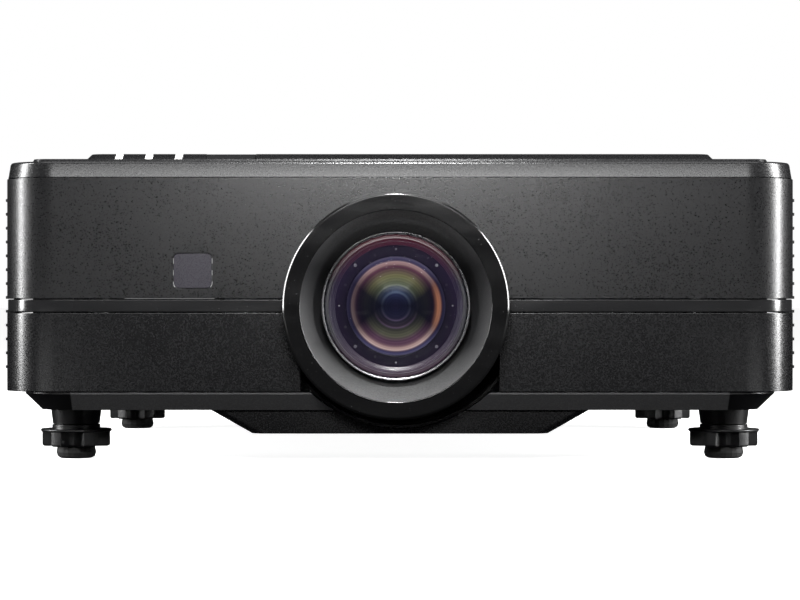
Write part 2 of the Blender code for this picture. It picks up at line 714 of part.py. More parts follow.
def platform_outline(inset):
    x = SIDE_X - PLATFORM_SIDE_INSET - inset
    y = (back(PLATFORM_FRONT) + inset, REAR_Y - PLATFORM_REAR_INSET - inset)
    return rounded_outline(-x, x, *y, PLATFORM_CORNER - inset)


def key_places():
    """Name and plan position of each key, in two rows of three."""
    rows = [("power", "menu", "up"), ("source", "enter", "down")]
    centre_y = REAR_Y - KEYPAD_REAR
    places = []
    for row, names in enumerate(rows):
        for column, name in enumerate(names):
            x = KEYPAD_X + (column - 1) * KEY_PITCH
            places.append((f"key_{name}", x, centre_y + (row - 0.5) * KEY_PITCH))
    return places


def top_lid(finish):
    """Lid with a leaning front edge and a low platform that carries the cover plate."""
    edge = LID_EDGE
    bend = 1 - math.cos(math.radians(45))

    def lid_outline(share, extra, z):
        lean = LID_INSET + LID_FRONT_LEAN * share
        side = LID_INSET + LID_SIDE_LEAN * share
        return at_height(body_outline(lean + extra, side + extra, side + extra), z)

    low = 1 - edge / LID_HEIGHT
    shell = [
        lid_outline(0, 0, LID_BOTTOM),
        lid_outline(low, 0, DECK_Z - edge),
        lid_outline(1, edge * bend, DECK_Z - edge * bend),
        lid_outline(1, edge, DECK_Z),
        at_height(platform_outline(0), DECK_Z),
        at_height(platform_outline(PLATFORM_SLOPE_RUN), PLATFORM_Z),
    ]
    lid = piece("top_lid", loft(shell), finish)
    lowest = LID_BOTTOM - PAST
    hollow = [
        lid_outline(0, WALL + LID_FRONT_LEAN, lowest),
        lid_outline(0, WALL + LID_FRONT_LEAN, DECK_Z - WALL),
        at_height(platform_outline(WALL), DECK_Z - WALL),
        at_height(platform_outline(WALL + PLATFORM_SLOPE_RUN), PLATFORM_Z - WALL),
    ]
    cut(lid, loft(hollow))
    holes = bmesh.new()
    for _, x, y in key_places():
        top = PLATFORM_Z + PAST
        low = PLATFORM_Z - WALL - PAST
        add_rod(holes, KEY_STEM_RADIUS + FIT, low, top, "Z", (x, y, 0), SMALL_STEPS)
    cut(lid, holes)
    return lid


def light_places():
    return [LIGHT_FIRST_X + i * LIGHT_PITCH for i in range(LIGHT_COUNT)]


def top_cover_plate(finish):
    """Raised plate with sloping edges, slots for the lights and the window, and key holes."""

    def outline(share, inset, z):
        x = PLATE_HALF_WIDTH - PLATE_SIDE_RUN * share - inset
        front = back(PLATE_FRONT) + PLATE_SLOPE_RUN * share + inset
        rear = REAR_Y - PLATE_REAR_INSET - PLATE_SIDE_RUN * share - inset
        return at_height(rounded_outline(-x, x, front, rear, PLATE_CORNER - inset, steps=3), z)

    block = loft([outline(0, 0, PLATE_BOTTOM), outline(1, 0, PLATE_TOP)])
    plate = piece("top_cover_plate", block, finish)
    hollow = [outline(1, WALL, PLATE_BOTTOM - PAST), outline(1, WALL, PLATE_TOP - PLATE_SKIN)]
    cut(plate, loft(hollow))
    slots = bmesh.new()
    spans = [(x - LIGHT_WIDTH / 2, x + LIGHT_WIDTH / 2) for x in light_places()] + [TOP_SENSOR_X]
    y = (back(PLATE_FRONT) - PAST, back(PLATE_FRONT) + PLATE_SLOPE_RUN + WALL + 2 * FIT)
    for low, high in spans:
        add_box(slots, (low - FIT, high + FIT), y, (PLATE_BOTTOM - PAST, PLATE_TOP + PAST))
    for _, x, key_y in key_places():
        add_prism(slots, key_outline(x, key_y, FIT), PLATE_BOTTOM, PLATE_TOP + PAST)
    cut(plate, slots)
    return plate


def slot_filler(bm, x, tail=0.0):
    """A wedge that fills one slot of the cover plate; its tail reaches back under the plate."""
    drop = KEY_BELOW_PLATE
    front = back(PLATE_FRONT)
    toe = front + drop * PLATE_SLOPE_RUN / PLATE_THICKNESS
    knee = front + PLATE_SLOPE_RUN
    end = knee + WALL + FIT
    under = PLATE_TOP - PLATE_SKIN - FIT
    outline = [(toe, PLATE_BOTTOM), (end + tail, PLATE_BOTTOM)]
    if tail:
        outline += [(end + tail, under), (end, under)]
    outline += [(end, PLATE_TOP - drop), (knee, PLATE_TOP - drop)]
    add_prism(bm, outline, x[0], x[1], "X")


def status_lights(finish):
    """Three light guides in the slope, joined by a runner under the plate."""
    tail_start = back(PLATE_FRONT) + PLATE_SLOPE_RUN + WALL + 2 * FIT
    half = LIGHT_WIDTH / 2
    runner_x = (light_places()[0] - half - WALL, light_places()[-1] + half + WALL)
    runner_z = (PLATE_BOTTOM, PLATE_TOP - PLATE_SKIN - FIT)
    runner = boxes((runner_x, (tail_start, tail_start + LIGHT_REACH), runner_z))
    lights = piece("status_lights", runner, finish)
    guides = bmesh.new()
    for x in light_places():
        slot_filler(guides, (x - half, x + half), LIGHT_REACH / 2)
    join(lights, guides)
    return lights


def top_ir_window(finish):
    bm = bmesh.new()
    slot_filler(bm, TOP_SENSOR_X)
    return piece("top_ir_window", bm, finish)


def key_outline(x, y, room):
    half = KEY_SIZE / 2 + room
    return rounded_outline(x - half, x + half, y - half, y + half, KEY_CORNER + room, steps=3)


def keys(finish, accent):
    """Keys with a stem through the lid and a stop under it."""
    for name, x, y in key_places():
        axis = pivot(f"{name}_axis", (x, y, PLATFORM_Z))
        top = PLATE_TOP - PLATFORM_Z - KEY_BELOW_PLATE
        cap = prism(key_outline(0, 0, 0), KEY_TRAVEL + FIT, top)
        colour = accent if name == "key_power" else finish
        key = piece(name, cap, colour, parent=axis)
        stop_top = -WALL - FIT
        stem = bmesh.new()
        profile = [
            (0, stop_top - KEY_STOP_THICKNESS),
            (KEY_STOP_RADIUS, stop_top - KEY_STOP_THICKNESS),
            (KEY_STOP_RADIUS, stop_top),
            (KEY_STEM_RADIUS, stop_top),
            (KEY_STEM_RADIUS, KEY_TRAVEL + 2 * FIT),
            (0, KEY_TRAVEL + 2 * FIT),
        ]
        add_turned(stem, profile, SMALL_STEPS, "Z", False)
        join(key, stem, parent=axis)


def side_grille(name, side, finish):
    """Side panel with windows behind a stack of louvres, and a foot over the tray's edge."""
    y = (back(FASCIA_RETURN) + SEAM, REAR_Y - REAR_RETURN - SEAM)
    inner, foot = SIDE_X - WALL, SIDE_X - FLANGE_DEPTH
    shape = [
        (SIDE_X, CASE_BOTTOM),
        (SIDE_X, CASE_TOP),
        (inner, CASE_TOP),
        (inner, CASE_BOTTOM + FLANGE_THICKNESS),
        (foot, CASE_BOTTOM + FLANGE_THICKNESS),
        (foot, CASE_BOTTOM),
    ]
    panel = piece(name, prism([(side * a, b) for a, b in shape], *y, "Y"), finish)
    heights = [LOUVRE_LOW_Z + i * LOUVRE_PITCH for i in range(LOUVRE_COUNT)]
    window_y = (y[0] + WINDOW_END_INSET, y[1] - WINDOW_END_INSET)
    window_z = (heights[0] - WINDOW_MARGIN, heights[-1] + WINDOW_MARGIN)
    step = (window_y[1] - window_y[0] + MULLION_WIDTH) / WINDOW_COUNT
    windows = bmesh.new()
    span_x = (side * (inner - PAST), side * (SIDE_X + PAST))
    for i in range(WINDOW_COUNT):
        low = window_y[0] + i * step
        add_box(windows, span_x, (low, low + step - MULLION_WIDTH), window_z)
    cut(panel, windows)
    low, high, tip = y[0] + LOUVRE_END_INSET, y[1] - LOUVRE_END_INSET, SIDE_X + LOUVRE_PROUD
    root = SIDE_X - WALL / 2
    blade = [(root, low), (SIDE_X, low), (tip, low + LOUVRE_TAPER), (tip, high - LOUVRE_TAPER)]
    blade += [(SIDE_X, high), (root, high)]
    blades = bmesh.new()
    for z in heights:
        half = LOUVRE_THICKNESS / 2
        add_prism(blades, [(side * a, b) for a, b in blade], z - half, z + half)
    join(panel, blades)
    return panel


# ---- rear ----------------------------------------------------------------------------------

def port_height(height):
    """Centre of a port that stands on the main board."""
    return BOARD_Z + BOARD_THICKNESS + FIT + height / 2


def about(centre, half):
    return (centre - half, centre + half)


def rear_panel(finish):
    """Rear wall with round corners, the connector window and exhaust slots."""
    outline = wrap_outline(REAR_Y - REAR_RETURN, REAR_CORNER, -1)
    panel = piece("rear_panel", prism(outline, CASE_BOTTOM, CASE_TOP), finish)
    flange = wrap_outline(REAR_Y - REAR_RETURN + WALL, REAR_CORNER, -1, WALL / 2, REAR_CORNER - WALL)
    join(panel, prism(flange, CASE_BOTTOM, CASE_BOTTOM + FLANGE_THICKNESS))
    through = (REAR_Y - WALL - PAST, REAR_Y + PAST)
    holes = bmesh.new()
    add_box(holes, IO_X, through, IO_Z)
    middle = (IO_Z[0] + IO_Z[1]) / 2
    for i in range(EXHAUST_COUNT):
        z = middle + (i - (EXHAUST_COUNT - 1) / 2) * EXHAUST_PITCH
        width, height = EXHAUST_SLOT
        add_box(holes, about(EXHAUST_X, width / 2), through, about(z, height / 2))
    cut(panel, holes)
    return panel


def connector_plate(finish):
    """Sheet behind the rear window, with a hole for each socket."""
    face = REAR_Y - WALL - FIT
    x, z = [(low - IO_LAP, high + IO_LAP) for low, high in (IO_X, IO_Z)]
    plate = piece("connector_plate", boxes((x, (face - IO_THICKNESS, face), z)), finish)
    through = (face - IO_THICKNESS - PAST, face + PAST)
    holes = bmesh.new()
    for x, width, height, _ in PORTS.values():
        z = port_height(height)
        add_box(holes, about(x, width / 2 + FIT), through, about(z, height / 2 + FIT))
    inlet = [about(c, s / 2 + FIT) for c, s in zip((INLET_X, INLET_Z), INLET_SIZE)]
    add_box(holes, inlet[0], through, inlet[1])
    cut(plate, holes)
    return plate


def ports(finish):
    """Sockets on the main board, each a shell open to the rear."""
    for name, (x, width, height, has_tongue) in PORTS.items():
        z = port_height(height)
        depth = (PORT_FACE_Y - PORT_DEPTH, PORT_FACE_Y)
        shell = boxes((about(x, width / 2), depth, about(z, height / 2)))
        port = piece(name, shell, finish)
        floor = PORT_FACE_Y - PORT_DEPTH + PORT_WALL
        half_x, half_z = width / 2 - PORT_WALL, height / 2 - PORT_WALL
        cut(port, boxes((about(x, half_x), (floor, PORT_FACE_Y + PAST), about(z, half_z))))
        if has_tongue:
            span_y = (floor - PORT_WALL / 2, PORT_FACE_Y - PORT_CLEAR)
            tongue = (about(x, half_x * TONGUE_SHARE), span_y, about(z, TONGUE_THICKNESS / 2))
            join(port, boxes(tongue))


def ac_inlet(finish):
    """Mains inlet with three pins, in one frame with the switch's pocket."""
    spans = [about(c, s / 2) for c, s in zip((INLET_X, INLET_Z), INLET_SIZE)]
    depth = (PORT_FACE_Y - INLET_DEPTH, PORT_FACE_Y)
    inlet = piece("ac_inlet", boxes((spans[0], depth, spans[1])), finish)
    socket_x = INLET_X + INLET_SOCKET_SHIFT
    x, z = about(socket_x, INLET_SOCKET[0] / 2), about(INLET_Z, INLET_SOCKET[1] / 2)
    pocket = rounded_outline(*x, *z, *INLET_CORNERS, steps=3)
    floor = PORT_FACE_Y - INLET_POCKET
    cut(inlet, prism(pocket, floor, PORT_FACE_Y + PAST, "Y"))
    half_x, half_z = ROCKER_WIDTH / 2 + FIT, ROCKER_HALF_HEIGHT + 3 * FIT
    rocker_y = (PORT_FACE_Y - ROCKER_POCKET, PORT_FACE_Y + PAST)
    cut(inlet, boxes((about(INLET_X + ROCKER_SHIFT, half_x), rocker_y, about(INLET_Z, half_z))))
    pins = bmesh.new()
    along = (floor - PAST, PORT_FACE_Y - PORT_CLEAR)
    for pin_x, pin_z in INLET_PINS:
        across, up = about(socket_x + pin_x, PIN_HALF[0]), about(INLET_Z + pin_z, PIN_HALF[1])
        add_box(pins, across, along, up)
    join(inlet, pins)
    return inlet


def power_rocker(finish):
    """Rocker that tips about a level axis; it rests with its lower half pressed in."""
    place = (INLET_X + ROCKER_SHIFT, PORT_FACE_Y - ROCKER_POCKET / 2, INLET_Z)
    reach = ROCKER_HALF_HEIGHT
    face = ROCKER_POCKET / 2 - ROCKER_LOW
    crest, edge = face + ROCKER_DISH, reach - ROCKER_EDGE
    outline = [(face - ROCKER_DISH, 0), (crest, edge), (0, reach - FIT), (-face / 2, reach / 2)]
    outline += [(-face / 2, -reach / 2), (0, -reach + FIT), (crest, -edge)]
    axis = pivot("power_rocker_axis", place)
    half = ROCKER_WIDTH / 2
    rocker = piece("power_rocker", prism(outline, -half, half, "X"), finish, parent=axis)
    rocker.rotation_euler.x = math.radians(ROCKER_TILT)
    return rocker


# ---- feet ----------------------------------------------------------------------------------
def star_outline(shrink):
    """Plan of the knob: round lobes with hollows between them."""
    count = KNOB_LOBES * KNOB_LOBE_STEPS
    points = []
    for i in range(count):
        turn = 2 * math.pi * i / count
        swell = 0.5 + 0.5 * math.tanh(LOBE_STEEPNESS * math.cos(KNOB_LOBES * turn) + LOBE_FULLNESS)
        radius = KNOB_LOBE_RADIUS - shrink - KNOB_POCKET * (1 - swell)
        points.append((radius * math.cos(turn), radius * math.sin(turn)))
    return points


def foot(name, x, y, rubber, plastic):
    """One foot: pad with a stem that turns in the knob, and the knob with its threaded stud."""
    axis = pivot(f"foot_{name}_axis", (x, y, 0))
    stem_top = PAD_HEIGHT + PAD_STEM_HEIGHT
    pad = [
        (0, 0),
        (PAD_FLAT_RADIUS, 0),
        (PAD_RADIUS - PAD_ROUNDING, PAD_SOLE),
        (PAD_RADIUS, PAD_HEIGHT / 2),
        (PAD_RADIUS - PAD_ROUNDING, PAD_HEIGHT),
        (PAD_STEM_RADIUS, PAD_HEIGHT),
        (PAD_STEM_RADIUS, stem_top),
        (0, stem_top),
    ]
    piece(f"foot_pad_{name}", turned(pad, ROUND_STEPS, "Z", False), rubber, parent=axis)
    lip = COLLAR_BOTTOM - KNOB_LIP
    stud_top = TRAY_BOTTOM + SOCKET_BOSS_HEIGHT - WALL - FIT
    shoulder = KNOB_BOTTOM + KNOB_CHAMFER
    star = [
        at_height(star_outline(KNOB_CHAMFER), KNOB_BOTTOM),
        at_height(star_outline(0), shoulder),
        at_height(star_outline(0), lip + KNOB_LIP / 2),
    ]
    knob = piece(f"foot_knob_{name}", loft(star), plastic, parent=axis)
    core = [
        (0, shoulder),
        (KNOB_HUB_RADIUS, shoulder),
        (KNOB_HUB_RADIUS, lip),
        (KNOB_RADIUS - KNOB_LIP / 4, lip),
        (KNOB_RADIUS, lip + KNOB_LIP / 3),
        (KNOB_RADIUS, COLLAR_BOTTOM - KNOB_LIP / 4),
        (KNOB_RADIUS - KNOB_LIP / 4, COLLAR_BOTTOM),
        (COLLAR_RADIUS, COLLAR_BOTTOM),
        (COLLAR_RADIUS, COLLAR_TOP),
        (STUD_RADIUS, COLLAR_TOP),
        (STUD_RADIUS, stud_top),
        (0, stud_top),
    ]
    join(knob, turned(core, ROUND_STEPS, "Z", False), parent=axis)
    bore = rod(PAD_STEM_RADIUS + FIT, KNOB_BOTTOM - PAST, stem_top + FIT, "Z")
    cut(knob, bore, parent=axis)


# ---- lens ----------------------------------------------------------------------------------
def lens_well(finish):
    """Dark throat behind the opening: a tube with a back wall that the barrel passes through."""
    r, wall = WELL_RADIUS, WELL_WALL
    profile = [
        (r, back(WELL_FRONT)),
        (r, back(WELL_BACK)),
        (WELL_HOLE_RADIUS, back(WELL_BACK)),
        (WELL_HOLE_RADIUS, back(WELL_BACK - wall)),
        (r - wall, back(WELL_BACK - wall)),
        (r - wall, back(WELL_FRONT)),
    ]
    return piece("lens_well", turned(profile, LENS_STEPS, centre=(0, 0, OPENING_Z)), finish)


def lens_mount_frame(finish):
    """Fixed upright plate on the tray that carries both shift plates."""
    start = SHIFT_START + 2 * (SHIFT_PLATE_THICKNESS + FIT)
    y = (back(start), back(start + FRAME_THICKNESS))
    x = (-FRAME_HALF_WIDTH, FRAME_HALF_WIDTH)
    frame = piece("lens_mount_frame", boxes((x, y, (TRAY_FLOOR + FIT, FRAME_TOP))), finish)
    room = REAR_BARREL_RADIUS + TRAVEL_ROOM
    cut(frame, rod(room, y[0] - PAST, y[1] + PAST, "Y", (0, 0, LENS_Z), LENS_STEPS))
    return frame


def shift_plates(finish, axis):
    """Horizontal and vertical shift plates, parented to the lens axis."""
    thick = SHIFT_PLATE_THICKNESS
    h_start = SHIFT_START + thick + FIT
    x, z = [(-half, half) for half in SHIFT_H_HALF]
    sideways = piece("shift_plate_h", boxes((x, (h_start, h_start + thick), z)), finish, parent=axis)
    room = REAR_BARREL_RADIUS + TRAVEL_ROOM
    cut(sideways, rod(room, h_start - PAST, h_start + thick + PAST, "Y", steps=LENS_STEPS), parent=axis)
    x, z = [(-half, half) for half in SHIFT_V_HALF]
    plate = boxes((x, (SHIFT_START, SHIFT_START + thick), z))
    upright = piece("shift_plate_v", plate, finish, parent=axis)
    span = (SHIFT_START - PAST, SHIFT_START + thick + PAST)
    cut(upright, rod(REAR_BARREL_RADIUS + FIT, *span, "Y", steps=LENS_STEPS), parent=axis)


def lens_shroud_ring(finish, axis):
    """Ring in front of the fascia: bevelled edge, flat band, inward cone and a tube round the barrel."""
    front, r = -RING_PROUD, RING_RADIUS
    profile = [
        (r, -RING_BACK_GAP),
        (r, front + RING_EDGE),
        (r - RING_EDGE, front),
        (RING_BAND_INNER, front),
        (RING_THROAT_RADIUS, RING_CONE_END),
        (RING_THROAT_RADIUS, RING_TUBE_END),
        (RING_THROAT_RADIUS + RING_SKIN, RING_TUBE_END),
        (RING_THROAT_RADIUS + RING_SKIN, RING_CONE_END),
        (RING_BAND_INNER, front + RING_SKIN * 2),
        (r - RING_SKIN, front + RING_SKIN * 2),
        (r - RING_SKIN, -RING_BACK_GAP),
    ]
    return piece("lens_shroud_ring", turned(profile, RING_STEPS), finish, parent=axis)


def lens_barrel(finish, axis):
    """Front barrel, mount flange, rear barrel and the ear that carries the zoom motor."""
    r, inner = BARREL_RADIUS, BARREL_RADIUS - BARREL_WALL
    flange = (SHIFT_START - FIT - MOUNT_FLANGE_THICKNESS, SHIFT_START - FIT)
    end = EAR_START + EAR_THICKNESS
    profile = [
        (inner, BARREL_FRONT),
        (r, BARREL_FRONT),
        (r, flange[0]),
        (MOUNT_FLANGE_RADIUS, flange[0]),
        (MOUNT_FLANGE_RADIUS, flange[1]),
        (REAR_BARREL_RADIUS, flange[1]),
        (REAR_BARREL_RADIUS, end),
        (ZOOM_BORE_RADIUS, end),
        (ZOOM_BORE_RADIUS, REAR_BORE_START),
        (inner, REAR_BORE_START),
    ]
    barrel = piece("lens_barrel", turned(profile, LENS_STEPS), finish, parent=axis)
    ear_x = (-EAR_HALF_WIDTH, EAR_HALF_WIDTH)
    ear_z = (ZOOM_BORE_RADIUS + BARREL_WALL, GEAR_DISTANCE + EAR_HALF_WIDTH)
    join(barrel, boxes((ear_x, (EAR_START, end), ear_z)), parent=axis)
    place, span = (0, 0, GEAR_DISTANCE), (EAR_START - PAST, end + PAST)
    cut(barrel, rod(PINION_SHAFT_RADIUS + FIT, *span, "Y", place, SMALL_STEPS), parent=axis)
    return barrel


def cone_profile():
    """Stepped baffle from the front glass's seat down to the retainer."""
    wide, narrow = FRONT_GLASS_RADIUS - FRONT_GLASS_SEAT, RETAINER_OUTER + FIT
    start, end = FRONT_GLASS_RIM[1] + FIT, RETAINER_FACE - FIT
    points = []
    for i in range(CONE_STEPS):
        radius = wide + (narrow - wide) * i / (CONE_STEPS - 1)
        points.append((radius, start + (end - start) * i / CONE_STEPS))
        points.append((radius, start + (end - start) * (i + 1) / CONE_STEPS))
    return points


def focus_cell(finish, axis):
    """Cell that holds both front glasses and slides in the barrel."""
    r = FOCUS_CELL_RADIUS
    shelf = RETAINER_FACE + RETAINER_THICKNESS + FIT
    floor = INNER_GLASS_RIM[1] + FIT
    profile = [
        (FRONT_GLASS_RADIUS + FIT, FOCUS_CELL_START),
        (FRONT_GLASS_RADIUS + FIT, FRONT_GLASS_RIM[1] + FIT),
        *cone_profile(),
        (RETAINER_OUTER + FIT, shelf),
        (INNER_GLASS_RADIUS + FIT, shelf),
        (INNER_GLASS_RADIUS + FIT, floor),
        (INNER_STOP_RADIUS, floor),
        (INNER_STOP_RADIUS, FOCUS_CELL_END),
        (r, FOCUS_CELL_END),
        (r, FOCUS_CELL_START),
    ]
    return piece("focus_cell", turned(profile, LENS_STEPS), finish, parent=axis)


def bulge(radius, rim, sag, steps=GLASS_STEPS):
    """Points of a dished surface from the axis to its rim; sag is positive towards the front."""
    curve = (radius**2 + sag**2) / (2 * abs(sag))
    sign = math.copysign(1, sag)
    points = []
    for i in range(steps + 1):
        r = radius * i / steps
        depth = curve - math.sqrt(curve**2 - r**2)
        points.append((r, rim - sag + sign * depth))
    return points


def glass(name, radius, rim, sags, finish, axis):
    """A lens element; its front and rear faces bulge towards the front by these sags."""
    front = bulge(radius, rim[0], sags[0])
    rear = bulge(radius, rim[1], sags[1])[::-1] if sags[1] else [(radius, rim[1]), (0, rim[1])]
    return piece(name, turned(front + rear, LENS_STEPS, ring=False), finish, parent=axis)


def retainer_ring(finish, axis):
    """Flat ring that holds the inner glass down."""
    face, end = RETAINER_FACE, RETAINER_FACE + RETAINER_THICKNESS
    outer, inner = RETAINER_OUTER, RETAINER_INNER
    profile = [(outer, face), (outer, end), (inner, end), (inner, face)]
    return piece("retainer_ring", turned(profile, LENS_STEPS), finish, parent=axis)


def zoom_cell(finish, axis):
    """Sliding cell of the zoom group."""
    start, end = ZOOM_CELL_START, ZOOM_CELL_START + ZOOM_CELL_LENGTH
    lip = end - WALL
    bore = ZOOM_GLASS_RADIUS + FIT
    profile = [(ZOOM_CELL_RADIUS, start), (ZOOM_CELL_RADIUS, end), (bore - WALL, end)]
    profile += [(bore - WALL, lip), (bore, lip), (bore, start)]
    return piece("zoom_cell", turned(profile, LENS_STEPS), finish, parent=axis)


def gear_outline(teeth, phase):
    """Trapezium teeth with running clearance; phase is in teeth."""
    pitch = GEAR_MODULE * teeth / 2
    tip, root = pitch + GEAR_TIP * GEAR_MODULE, pitch - GEAR_ROOT * GEAR_MODULE
    tip_share, root_share = TOOTH_TIP_SHARE, TOOTH_ROOT_SHARE
    corners = ((root, -root_share), (tip, -tip_share), (tip, tip_share), (root, root_share))
    step = 2 * math.pi / teeth
    points = []
    for i in range(teeth):
        middle = (i + phase) * step
        for radius, share in corners:
            turn = middle + share * step
            points.append((radius * math.cos(turn), radius * math.sin(turn)))
    return points


def zoom_drive(gear_finish, motor_finish, axis):
    """Ring gear round the rear barrel, the pinion above it and its motor."""
    span = (GEAR_START, GEAR_START + GEAR_WIDTH)
    quarter = RING_GEAR_TEETH / 4
    # A tooth of the ring gear stands straight up, and a gap of the pinion straight down.
    outline = gear_outline(RING_GEAR_TEETH, math.ceil(quarter) - quarter)
    ring = piece("zoom_ring_gear", prism(outline, *span, "Y"), gear_finish, parent=axis)
    bore = rod(REAR_BARREL_RADIUS + FIT, span[0] - PAST, span[1] + PAST, "Y", steps=LENS_STEPS)
    cut(ring, bore, parent=axis)
    drive_axis = pivot("zoom_pinion_axis", (0, 0, GEAR_DISTANCE), axis)
    down = -PINION_TEETH / 4
    outline = gear_outline(PINION_TEETH, math.floor(down) - down + 0.5)
    pinion = piece("zoom_pinion", prism(outline, *span, "Y"), gear_finish, parent=drive_axis)
    motor_start = EAR_START + EAR_THICKNESS + FIT
    shaft_end = motor_start + MOTOR_BORE_DEPTH - FIT
    shaft = rod(PINION_SHAFT_RADIUS, span[0] + FIT, shaft_end, "Y", steps=SMALL_STEPS)
    join(pinion, shaft, parent=drive_axis)
    body = rod(ZOOM_MOTOR_RADIUS, motor_start, motor_start + ZOOM_MOTOR_LENGTH, "Y")
    motor = piece("zoom_motor", body, motor_finish, parent=drive_axis)
    span = (motor_start - PAST, motor_start + MOTOR_BORE_DEPTH)
    cut(motor, rod(PINION_SHAFT_RADIUS + FIT, *span, "Y", steps=SMALL_STEPS), parent=drive_axis)


# ---- insides -------------------------------------------------------------------------------
def light_engine(finish):
    """Sealed optical block behind the lens, with a spindle for the wheel on its rear face."""
    y = (back(ENGINE_START), back(ENGINE_START + ENGINE_LENGTH))
    z = (TRAY_FLOOR + FIT, TRAY_FLOOR + FIT + ENGINE_HEIGHT)
    engine = piece("light_engine", boxes(((-ENGINE_HALF_WIDTH, ENGINE_HALF_WIDTH), y, z)), finish)
    middle = (LENS_X, 0, LENS_Z)
    cut(engine, rod(ENGINE_PORT_RADIUS, y[0] - PAST, y[0] + ENGINE_PORT_DEPTH, "Y", middle, LENS_STEPS))
    spindle = rod(WHEEL_SHAFT_RADIUS, y[1] - PAST, y[1] + WHEEL_SHAFT_LENGTH, "Y", (WHEEL_X, 0, WHEEL_Z))
    join(engine, spindle)
    return engine


def phosphor_wheel(finish):
    """Thin disc on a hub, turning on the engine's spindle."""
    axis = pivot("phosphor_wheel_axis", (WHEEL_X, back(ENGINE_START + ENGINE_LENGTH), WHEEL_Z))
    bore, hub, r = WHEEL_SHAFT_RADIUS + FIT, WHEEL_HUB_RADIUS, WHEEL_RADIUS
    disc = (WHEEL_STANDOFF, WHEEL_STANDOFF + WHEEL_THICKNESS)
    profile = [(bore, FIT), (hub, FIT), (hub, disc[0]), (r, disc[0]), (r, disc[1]), (hub, disc[1])]
    profile += [(hub, WHEEL_SHAFT_LENGTH), (bore, WHEEL_SHAFT_LENGTH)]
    return piece("phosphor_wheel", turned(profile, LENS_STEPS), finish, parent=axis)


def heat_sink(finish):
    """Laser heat sink: a base with upright fins."""
    y = (back(SINK_START), back(SINK_START + SINK_LENGTH))
    low = TRAY_FLOOR + FIT
    sink = piece("heat_sink", boxes((SINK_X, y, (low, low + SINK_BASE))), finish)
    fins = bmesh.new()
    step = (SINK_X[1] - SINK_X[0] - FIN_THICKNESS) / (FIN_COUNT - 1)
    for i in range(FIN_COUNT):
        x = SINK_X[0] + i * step
        add_box(fins, (x, x + FIN_THICKNESS), y, (low + SINK_BASE / 2, low + SINK_HEIGHT))
    join(sink, fins)
    return sink


def power_supply(finish):
    """Sheet-metal box with vent slots."""
    y = (back(SUPPLY_START), back(SUPPLY_START + SUPPLY_LENGTH))
    z = (TRAY_FLOOR + FIT, TRAY_FLOOR + FIT + SUPPLY_HEIGHT)
    supply = piece("power_supply", boxes((SUPPLY_X, y, z)), finish)
    vents = bmesh.new()
    step = SUPPLY_LENGTH / (SUPPLY_VENTS + 1)
    for i in range(SUPPLY_VENTS):
        vent_x = (SUPPLY_X[0] + SUPPLY_MARGIN, SUPPLY_X[1] - SUPPLY_MARGIN)
        add_box(vents, vent_x, about(y[0] + (i + 1) * step, WALL), (z[1] - WALL, z[1] + PAST))
    cut(supply, vents)
    return supply


def main_board(finish):
    """Circuit board behind the connector plate, with its larger parts."""
    rear = REAR_Y - WALL - IO_THICKNESS - 2 * FIT
    y = (rear - BOARD_LENGTH, rear)
    top = BOARD_Z + BOARD_THICKNESS
    board = piece("main_board", boxes((BOARD_X, y, (BOARD_Z, top))), finish)
    chips = bmesh.new()
    for x, depth, half, height in CHIPS:
        up = (BOARD_Z + BOARD_THICKNESS / 2, top + height)
        add_box(chips, about(x, half), about(rear - depth, half), up)
    join(board, chips)
    return board


def fan(name, side, frame_finish, rotor_finish):
    """Axial fan against a side panel: frame with a spider, and a rotor with its axis across."""
    inner = SIDE_X - WALL - FIT
    place = (side * (inner - FAN_DEPTH), back(FAN_BACK), FAN_Z)
    # Local X runs from the fan's inner face (0) to its outer face, away from the middle.
    axis = pivot(f"fan_{name}_axis", place)
    half = FAN_SIZE / 2

    def along(low, high):
        return (side * low, side * high)

    outline = rounded_outline(-half, half, -half, half, FAN_CORNER, steps=2)
    block = prism(outline, *along(0, FAN_DEPTH), "X")
    frame = piece(f"fan_frame_{name}", block, frame_finish, parent=axis)
    cut(frame, rod(FAN_BORE, *along(-PAST, FAN_DEPTH + PAST), "X", steps=LENS_STEPS), parent=axis)
    join(frame, rod(FAN_HUB, *along(0, FAN_MOUNT), "X"), parent=axis)
    arm = FAN_BORE + PAST
    arm_x, arm_half = along(0, FAN_MOUNT), FAN_MOUNT
    arms = boxes((arm_x, (-arm, arm), (-arm_half, arm_half)))
    join(frame, arms, parent=axis)
    join(frame, boxes((arm_x, (-arm_half, arm_half), (-arm, arm))), parent=axis)
    hub = rod(FAN_HUB, *along(FAN_MOUNT + FIT, FAN_DEPTH - WALL), "X")
    rotor = piece(f"fan_rotor_{name}", hub, rotor_finish, parent=axis)
    radii = (FAN_HUB - BLADE_THICKNESS, FAN_BORE - FAN_TIP_GAP)
    low, high = FAN_MOUNT + 3 * FIT, FAN_DEPTH - WALL - FIT
    blades = bmesh.new()
    for i in range(FAN_BLADES):
        turn = Matrix.Rotation(2 * math.pi * i / FAN_BLADES, 4, "X")
        sections = []
        for radius, skew in zip(radii, BLADE_SKEW):
            edge = skew - BLADE_THICKNESS
            corners = [(low, -skew), (high, edge), (high, skew), (low, -edge)]
            sections.append([turn @ Vector((side * x, y, radius)) for x, y in corners])
        add_loft(blades, sections)
    join(rotor, blades, parent=axis)


